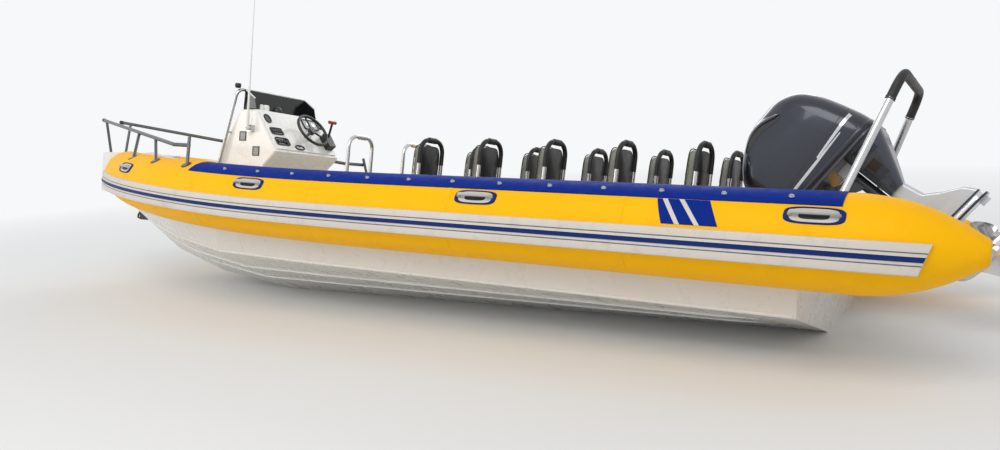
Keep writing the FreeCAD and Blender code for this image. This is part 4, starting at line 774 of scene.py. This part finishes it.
edge = screen_line(SCREEN_X - 0.143, CONSOLE_TOP + 0.1045, SCREEN_X - SCREEN_BACK - 0.003, CONSOLE_TOP + SCREEN_HIGH)
piece("windscreen_edge", *sweep(edge, 0.0065, 10), "white", smooth=60)
foot = screen_line(SCREEN_X - 0.172, CONSOLE_TOP + 0.003, SCREEN_X, CONSOLE_TOP + 0.003)
piece("windscreen_foot", *sweep(foot, 0.008, 10), "black", smooth=60)
# lamp on the rail's port corner, pale domes on the dash top and the throttle lever's red knob
lamp_rings = [(-0.006, 0.020), (0, 0.026), (0.010, 0.028), (0.030, 0.028), (0.036, 0.024), (0.038, 0.004)]
piece("rail_lamp_housing", *disc((5.250, 0.446, 1.8505), (0, 0, 1), lamp_rings, 24), "black")
domes = [disc((5.105, 0.230, CONSOLE_TOP), (0, 0, 1),
              [(0, 0.036), (0.045, 0.034), (0.055, 0.030), (0.060, 0.022), (0.062, 0.002)], 28),
         disc((5.085, 0.300, CONSOLE_TOP), (0, 0, 1),
              [(0, 0.020), (0.050, 0.018), (0.056, 0.012), (0.058, 0.002)], 20)]
piece("dash_domes", *join(domes), "cream")
knob = on_dash(0.170, -0.357, 0.120)[0] + V(0, 0, 0.130)
knob_rings = [(0, 0.012), (0.004, 0.0165), (0.090, 0.0165), (0.094, 0.012)]
piece("throttle_knob", *disc(knob, (0, 1, 0), knob_rings, 20), "red")

# ---- engine; points in the engine's own frame ----
# height, front, aft, half width and corner of the cowls' outlines
COWL = [(0.055, 0.345, -0.508, 0.285, 0.130), (0.130, 0.360, -0.504, 0.290, 0.140),
        (0.250, 0.360, -0.480, 0.290, 0.140), (0.350, 0.352, -0.455, 0.284, 0.135),
        (0.430, 0.330, -0.430, 0.275, 0.130), (0.500, 0.272, -0.402, 0.258, 0.125),
        (0.560, 0.202, -0.366, 0.236, 0.115), (0.610, 0.128, -0.318, 0.200, 0.100),
        (0.650, 0.045, -0.252, 0.145, 0.072), (0.676, -0.055, -0.190, 0.070, 0.032)]
APRON = [(-0.303, -0.206, -0.316, 0.095, 0.040), (-0.200, -0.206, -0.378, 0.150, 0.060),
         (-0.100, -0.206, -0.436, 0.195, 0.075), (0.0, -0.206, -0.490, 0.228, 0.090),
         (0.042, -0.206, -0.505, 0.240, 0.100)]


def engine_piece(name, part, mats, body="outboard", **more):
    return piece(name, *part, mats, body, ENGINE, **more)


def station(table, z):
    """The outline at a height: curved between the cowl's rows, straight between the apron's."""
    if table is COWL:
        return [spline([row[0] for row in table], [row[i] for row in table], z) for i in range(1, 5)]
    a, b = next((a, b) for a, b in zip(table, table[1:]) if z <= b[0])
    t = (z - a[0]) / (b[0] - a[0])
    return [a[i] + (b[i] - a[i]) * t for i in range(1, 5)]


def rounded(front, aft, wide, corner, grow=0.0):
    """A rounded outline, from the middle of the front round by port."""
    f, a, w, c = front + grow, aft - grow, wide + grow, max(corner + grow, 0.004)
    pts = []
    for cx, cy, start in ((f - c, w - c, 0), (a + c, w - c, 90), (a + c, -w + c, 180), (f - c, -w + c, 270)):
        for k in range(9):
            t = radians(start + 90 * k / 8)
            pts.append((cx + c * cos(t), cy + c * sin(t)))
    full = []
    for p, q in zip(pts, pts[1:] + pts[:1]):
        full.append(p)
        if dist(p, q) > 0.05:
            full += [(p[0] + (q[0] - p[0]) * k / 6, p[1] + (q[1] - p[1]) * k / 6) for k in range(1, 6)]
    return full


def level(table, z, grow=0.0):
    return [V(x, y, z) for x, y in rounded(*station(table, z), grow)]


def side_y(table, x, z):
    """Half width of the outline at x."""
    f, a, w, c = station(table, z)
    if x > f - c:
        return w - c + sqrt(max(c * c - (x - f + c) ** 2, 0))
    if x < a + c:
        return w - c + sqrt(max(c * c - (a + c - x) ** 2, 0))
    return w


rows = [level(COWL, z, grow) for z, grow in
        [(0.063, -0.012), (0.063, -0.003), (0.066, 0.0), (0.082, 0.0015), (0.092, 0.001), (0.096, -0.002)]
        + [(z, -0.0015) for z in span(0.104, 0.676, 0.016)]]
top_ring = rows[-1]
centre = sum(top_ring, Vector()) / len(top_ring)
for share, lift in ((0.75, 0.0015), (0.45, 0.004), (0.15, 0.005)):
    rows.append([centre + (p - centre) * share + V(0, 0, lift) for p in top_ring])
verts, faces = grid(rows, True)
faces.append(tuple((len(rows) - 1) * len(rows[0]) + j for j in range(len(rows[0]))))
engine_piece("engine_cowl", (verts, faces), "engine", replaces=("upper_cowl",))
rows = [level(COWL, z, grow) for z, grow in ((0.0552, -0.007), (0.0565, -0.005), (0.0635, -0.005), (0.0645, -0.008))]
engine_piece("cowl_seal", grid(rows, True), "black", smooth=50)


def streak(count, x0, run, z0, fall, half, proud):
    """A strip along the cowl's side, falling forward; half is its half height at a share of the run."""
    rows = []
    for k in range(count + 1):
        t = k / count
        x, z, h = x0 + run * t, z0 - fall * t, half(t)
        rows.append([V(x, side_y(COWL, x, z + h * q) - 0.0015 + lift, z + h * q) for q, lift in
                     ((-1, -0.001), (-0.88, proud), (0, proud * 1.15), (0.88, proud), (1, -0.001))])
    return grid(rows)


accents = [streak(24, -0.452, 0.332, 0.196, 0.036, lambda t: 0.014 * (1 - 0.55 * t), 0.003),
           streak(24, -0.330, 0.470, 0.160, 0.030, lambda t: 0.004 + 0.007 * min(1.0, 1.7 * t), 0.003)]
engine_piece("cowl_accents", both(join(accents)), "accent", smooth=35)
# painted shadow line above the accents, a thin dark strip on the cowl
shadow_line = streak(32, -0.470, 0.72, 0.236, 0.078, lambda t: 0.0035, 0.0006)
engine_piece("cowl_painted_shadow_line", both(shadow_line), "plastic", smooth=35)


def shoulder(profile):
    """A curved band across the cowl's shoulder."""
    rows = []
    for k in range(21):
        t = k / 20
        x = 0.150 - 0.330 * t
        middle = 0.541 + 0.040 * sin(pi * min(t * 1.15, 1.0))
        half = 0.004 + 0.020 * sin(pi * t) ** 0.6
        rows.append([V(x, side_y(COWL, x, middle + q * half) + lift, middle + q * half) for q, lift in profile])
    return grid(rows)


# air intakes across the shoulders: a dark scoop with a raised brow
intake = shoulder(((-1.0, 0.0), (-0.8, 0.0016), (0.0, 0.0022), (0.8, 0.0016), (1.0, 0.0)))
engine_piece("cowl_intakes", both(intake), "plastic")
brow = shoulder(((1.0, 0.0), (1.25, 0.008), (1.7, 0.010), (2.3, 0.006), (3.0, 0.0)))
engine_piece("cowl_brows", both(brow), "engine")

# lower cowl: its own skin with two side panels, and the rim of the pan
rows = [level(APRON, -0.303, -0.010)] + [level(APRON, z) for z in span(-0.302, 0.040, 0.02)]
engine_piece("apron_skin", grid(rows, True, True), "engine_grey")
panels = []
for x0, x1, z0, z1 in ((-0.400, -0.250, -0.060, 0.022), (-0.330, -0.232, -0.205, -0.085)):
    profile = ((z0, -0.001), (z0 + 0.006, 0.004), ((z0 + z1) / 2, 0.0045), (z1 - 0.006, 0.004), (z1, -0.001))
    xs = [x0 + (x1 - x0) * k / 8 for k in range(9)]
    panels.append(grid([[V(x, side_y(APRON, x, z) + lift, z) for z, lift in profile] for x in xs]))
engine_piece("apron_panels", both(join(panels)), "engine", smooth=35)
PAN_RIM = ((0.0558, -0.020), (0.0554, -0.001), (0.052, 0.0), (0.046, -0.0005), (0.0415, -0.004), (0.0412, -0.030))
rows = [[V(p.x, p.y, z) for p in level(COWL, 0.056, grow)] for z, grow in PAN_RIM]
engine_piece("pan_rim", grid(rows, True), "engine_grey")


# plates above the propeller: bright band between two dark edges
def ring_edge(outline, z0, z1):
    rows = [[V(x, y, z) for x, y in rounded(*outline, grow)] for z, grow in
            ((z0, 0.0), (z0, 0.0015), (z1, 0.0015), (z1, 0.0))]
    return grid(rows, True)


edges = [ring_edge((-0.125, -0.578, 0.130, 0.090), -0.7005, -0.6855),
         ring_edge((-0.140, -0.560, 0.095, 0.070), -0.6525, -0.6435)]
engine_piece("plate_edges", join(edges), "plastic", smooth=35)
rows = [[V(x, y, z) for x, y in rounded(-0.147, -0.556, wide, 0.060)] for z, wide in
        ((-0.6525, 0.088), (-0.660, 0.094), (-0.676, 0.098), (-0.6865, 0.098))]
engine_piece("plate_band", grid(rows, True), "accent")
# gearcase water grilles and anode
grille = []
for k in range(6):
    z = -0.800 - 0.016 * k
    grille.append(plate([(-0.215, 0.0275, z), (-0.175, 0.0275, z), (-0.175, 0.0275, z + 0.007),
                         (-0.215, 0.0275, z + 0.007)], (0, 1, 0), 0.002))
engine_piece("water_grilles", both(join(grille)), "plastic", smooth=30)
anode = plate([(-0.500, -0.02, -0.702), (-0.560, -0.012, -0.702), (-0.560, 0.012, -0.702), (-0.500, 0.02, -0.702)],
              (0, 0, -1), 0.030)
engine_piece("trim_anode", anode, "silver", smooth=30, bevel=0.003)

# propeller with cambered, skewed blades
PROP_X, PROP_Z, HUB_R, PROP_R, BLADES = -0.390, -0.935, 0.040, 0.1945, 3
STEPS = 9
rows = []
for k in range(15):
    t = k / 14
    radius = HUB_R + (PROP_R - HUB_R) * t
    chord = 0.105 + 0.075 * sin(pi * min(min(t, 0.85) * 1.05, 1.0)) ** 0.9
    chord *= sqrt(max(1 - (max(t - 0.85, 0.0) / 0.155) ** 2, 0.02))
    pitch = radians(62 - 36 * t)
    skew = radians(-6 + 26 * t * t)
    thick = 0.0045 * (1 - 0.65 * t)
    row = []
    for i in list(range(STEPS)) + list(range(STEPS - 2, 0, -1)):
        u = i / (STEPS - 1)
        c = (u - 0.5) * chord
        face = 1 if len(row) < STEPS else -1
        lift = 0.010 * sin(pi * u)
        lift += thick * sin(pi * min(max(u, 0.02), 0.98)) ** 0.6 * face
        axial = -sin(pitch) * c + cos(pitch) * lift
        angle = skew + (cos(pitch) * c + sin(pitch) * lift) / radius
        row.append(V(PROP_X + axial * 0.92, sin(angle) * radius, cos(angle) * radius))
    rows.append(row)
verts, faces = grid(rows, True, True)
parts = []
for k in range(BLADES):
    turn = Matrix.Rotation(radians(360 / BLADES * k), 4, "X")
    parts.append(([turn @ v + V(0, 0, PROP_Z) for v in verts], faces))
parts.append(disc((PROP_X - 0.052, 0, PROP_Z), (1, 0, 0),
                  [(0.0, 0.015), (0.0, 0.036), (0.004, 0.042), (0.020, 0.0445), (0.070, 0.049), (0.092, 0.050),
                   (0.096, 0.048), (0.096, 0.0145)], 40))
parts.append(disc((PROP_X - 0.076, 0, PROP_Z), (1, 0, 0),
                  [(0.0, 0.006), (0.004, 0.014), (0.022, 0.016), (0.0235, 0.021)], 6))
engine_piece("screw_propeller", join(parts), "prop", "prop", replaces=("propeller",))

# ---- light frame's wrap, its ties and the light's base ----
FRAME_FOOT, FRAME_TOP, FRAME_BEND, WRAP_END = V(-0.060, 0.640, 0.860), V(-0.410, 0.450, 1.830), 0.120, 0.16
FLIP = Matrix.Scale(-1, 3, (0, 1, 0))


def on_frame(share, flip):
    """A point on one leg, from its top, and the direction down it."""
    down = FRAME_FOOT - FRAME_TOP
    leg = (FRAME_TOP + down * share, down.normalized())
    return [FLIP @ v for v in leg] if flip else leg


path = bent([FRAME_FOOT, FRAME_TOP, FLIP @ FRAME_TOP, FLIP @ FRAME_FOOT], FRAME_BEND, 10)
path = [on_frame(WRAP_END, False)[0]] + [p for p in path if p.z > 1.60] + [on_frame(WRAP_END, True)[0]]
piece("frame_wrap", *sweep(path, 0.0290, 20), "black", smooth=60)
ties = [disc(*on_frame(share, flip), [(0, 0.0255), (0, 0.0310), (0.006, 0.0310), (0.006, 0.0255)], 24)
        for flip in (False, True) for share in (WRAP_END, WRAP_END + 0.01)]
piece("wrap_ties", *join(ties), "plastic")
base = disc((FRAME_TOP.x, 0.0, 1.853), (0, 0, 1),
            [(-0.006, 0.020), (0.004, 0.020), (0.006, 0.016), (0.002, 0.002)], 24)
piece("mast_light_base", *base, "plastic")

# ---- bow deck: gasket round the hatch, hinges, caps on the rails, coaming and non-skid fields ----
DECK_TOP, HATCH_X, HINGE_X = 1.1502, 6.280, 6.551
gasket = [(HATCH_X + p, q, 1.1485) for p, q in superloop(0.2665, 0.2365, 30, 80)]
piece("hatch_gasket", *sweep(gasket, 0.0022, 6, closed=True), "black", smooth=60)
parts = []
for y in (-0.14, 0.14):
    parts.append(disc((HINGE_X, y - 0.03, 1.1535), (0, 1, 0),
                      [(0, 0.002), (0, 0.0045), (0.06, 0.0045), (0.06, 0.002)], 12))
    parts.append(plate([(HINGE_X - 0.002, y - 0.03, DECK_TOP), (6.585, y - 0.03, DECK_TOP),
                        (6.585, y + 0.03, DECK_TOP), (HINGE_X - 0.002, y + 0.03, DECK_TOP)], (0, 0, 1), 0.002))
piece("hatch_hinges", *join(parts), "steel")
cap = [(-0.030, 0.0185), (-0.028, 0.0205), (0.012, 0.0205), (0.018, 0.016), (0.020, 0.003)]
parts = [disc((7.735, sgn * 0.107, 1.584), (0.985, -sgn * 0.24, 0.17), cap, 20) for sgn in (1, -1)]
piece("rail_end_caps", *join(parts), "black")


def deck_y(x, inset):
    """Half width of the bow deck, a distance inside the tube's centre."""
    return TUBE_Y - ARC_R + (ARC_R - inset) * cos(asin((x - ARC_X) / (ARC_R - inset)))


bead = [V(x, deck_y(x, 0.0675), min(1.188, 1.118 + 0.070 * (x - 5.45) / 0.65)) for x in span(5.47, 7.20, 0.08)]
piece("coaming_cap", *both(sweep(bead, 0.0235, 12)), "white", smooth=60)
parts = []
for x0, x1 in ((5.760, 5.985), (6.600, 6.900)):
    rows = []
    for x in span(x0, x1, 0.05):
        y = deck_y(x, 0.20)
        rows.append([V(x, -y + 2 * y * k / 12, 1.1503 + (0.0015 if 0 < k < 12 else 0.0)) for k in range(13)])
    parts.append(grid(rows))
piece("bow_nonskid", *join(parts), "sole")
# non-skid inlays on the cockpit's sole
parts = []
for x0, x1, y0, y1 in ((0.10, 3.80, -0.175, 0.175), (3.88, 4.84, -0.74, 0.74), (0.10, 3.80, 0.57, 0.745),
                       (0.10, 3.80, -0.745, -0.57)):
    parts.append(grid([[V(x, y0, 0.5652), V(x, y0 + 0.008, 0.5668), V(x, y1 - 0.008, 0.5668), V(x, y1, 0.5652)]
                       for x in span(x0, x1, 0.25)]))
piece("sole_inlays", *join(parts), "sole")

# ---- camera, at the photograph's place in the deck's frame ----
right, down, forward = V(-0.8522, -0.5197, 0.0607), V(-0.0617, -0.0154, -0.998), V(0.5196, -0.8542, -0.0189)
data = bpy.data.cameras.new("photo_camera")
data.sensor_width = 36
data.lens = 31.5
data.clip_end = 200
camera = stand("photo_camera", data)
spin = Matrix((right, -down, -forward)).transposed()
camera.matrix_world = DECK @ Matrix.Translation(V(-1.120, 6.100, 0.875)) @ spin.to_4x4()
bpy.context.scene.camera = camera


# ---- light ----
def lamp(name, where, target, size, power, colour=(1, 1, 1)):
    data = bpy.data.lights.new(name, "AREA")
    data.shape = "RECTANGLE"
    data.size, data.size_y = size
    data.energy = power
    data.color = colour
    obj = stand(name, data)
    obj.location = where
    obj.rotation_euler = (Vector(target) - Vector(where)).to_track_quat("-Z", "Y").to_euler()


lamp("key", (-2.0, 8.0, 9.0), (0, 0, 0.6), (8, 6), 540, (1.0, 0.98, 0.95))
lamp("fill", (8.0, 8.0, 4.5), (1, 0, 0.8), (6, 4), 200)
lamp("back", (2.0, -9.0, 6.0), (0, 0, 1.0), (9, 4), 260)

# the camera, metal and glass see the backdrop, and the boat is lit by a softer sky
BACKDROP = (0.93, 0.94, 0.95, 1)
world = bpy.data.worlds.new("studio")
bpy.context.scene.world = world
world.use_nodes = True
tree = world.node_tree
tree.nodes.clear()
path = add(tree, "LightPath")
seen = path.outputs["Is Camera Ray"]
for kind in ("Is Glossy Ray", "Is Transmission Ray"):
    either = tree.nodes.new("ShaderNodeMath")
    either.operation = "MAXIMUM"
    tree.links.new(seen, either.inputs[0])
    tree.links.new(path.outputs[kind], either.inputs[1])
    seen = either.outputs[0]
soft = add(tree, "Background", Color=(0.95, 0.97, 1.0, 1), Strength=0.62)
add(tree, "OutputWorld", Surface=blend(tree, seen, soft, add(tree, "Background", Color=BACKDROP)))

# ---- floor: far from the boat it turns into the backdrop ----
FLOOR, FADE_NEAR, FADE_FAR = 60, 3.5, 13.0
floor_mesh = bpy.data.meshes.new("floor")
floor_mesh.from_pydata([(-FLOOR, -FLOOR, 0), (FLOOR, -FLOOR, 0), (FLOOR, FLOOR, 0), (-FLOOR, FLOOR, 0)], [],
                       [(0, 1, 2, 3)])
floor = stand("floor", floor_mesh)
floor_mat = bpy.data.materials.new("pale_floor")
floor_mat.use_nodes = True
tree = floor_mat.node_tree
shader = tree.nodes["Principled BSDF"]
wire(tree, shader, Base_Color=(0.76, 0.76, 0.75, 1), Roughness=0.9)
far = tree.nodes.new("ShaderNodeVectorMath")
far.operation = "LENGTH"
tree.links.new(add(tree, "TexCoord").outputs["Object"], far.inputs[0])
faded = blend(tree, ramp(tree, far.outputs["Value"], FADE_NEAR, FADE_FAR), shader,
              add(tree, "Emission", Color=BACKDROP))
wire(tree, tree.nodes["Material Output"], Surface=faded)
floor_mesh.materials.append(floor_mat)

bpy.context.scene.view_settings.view_transform = "Standard"
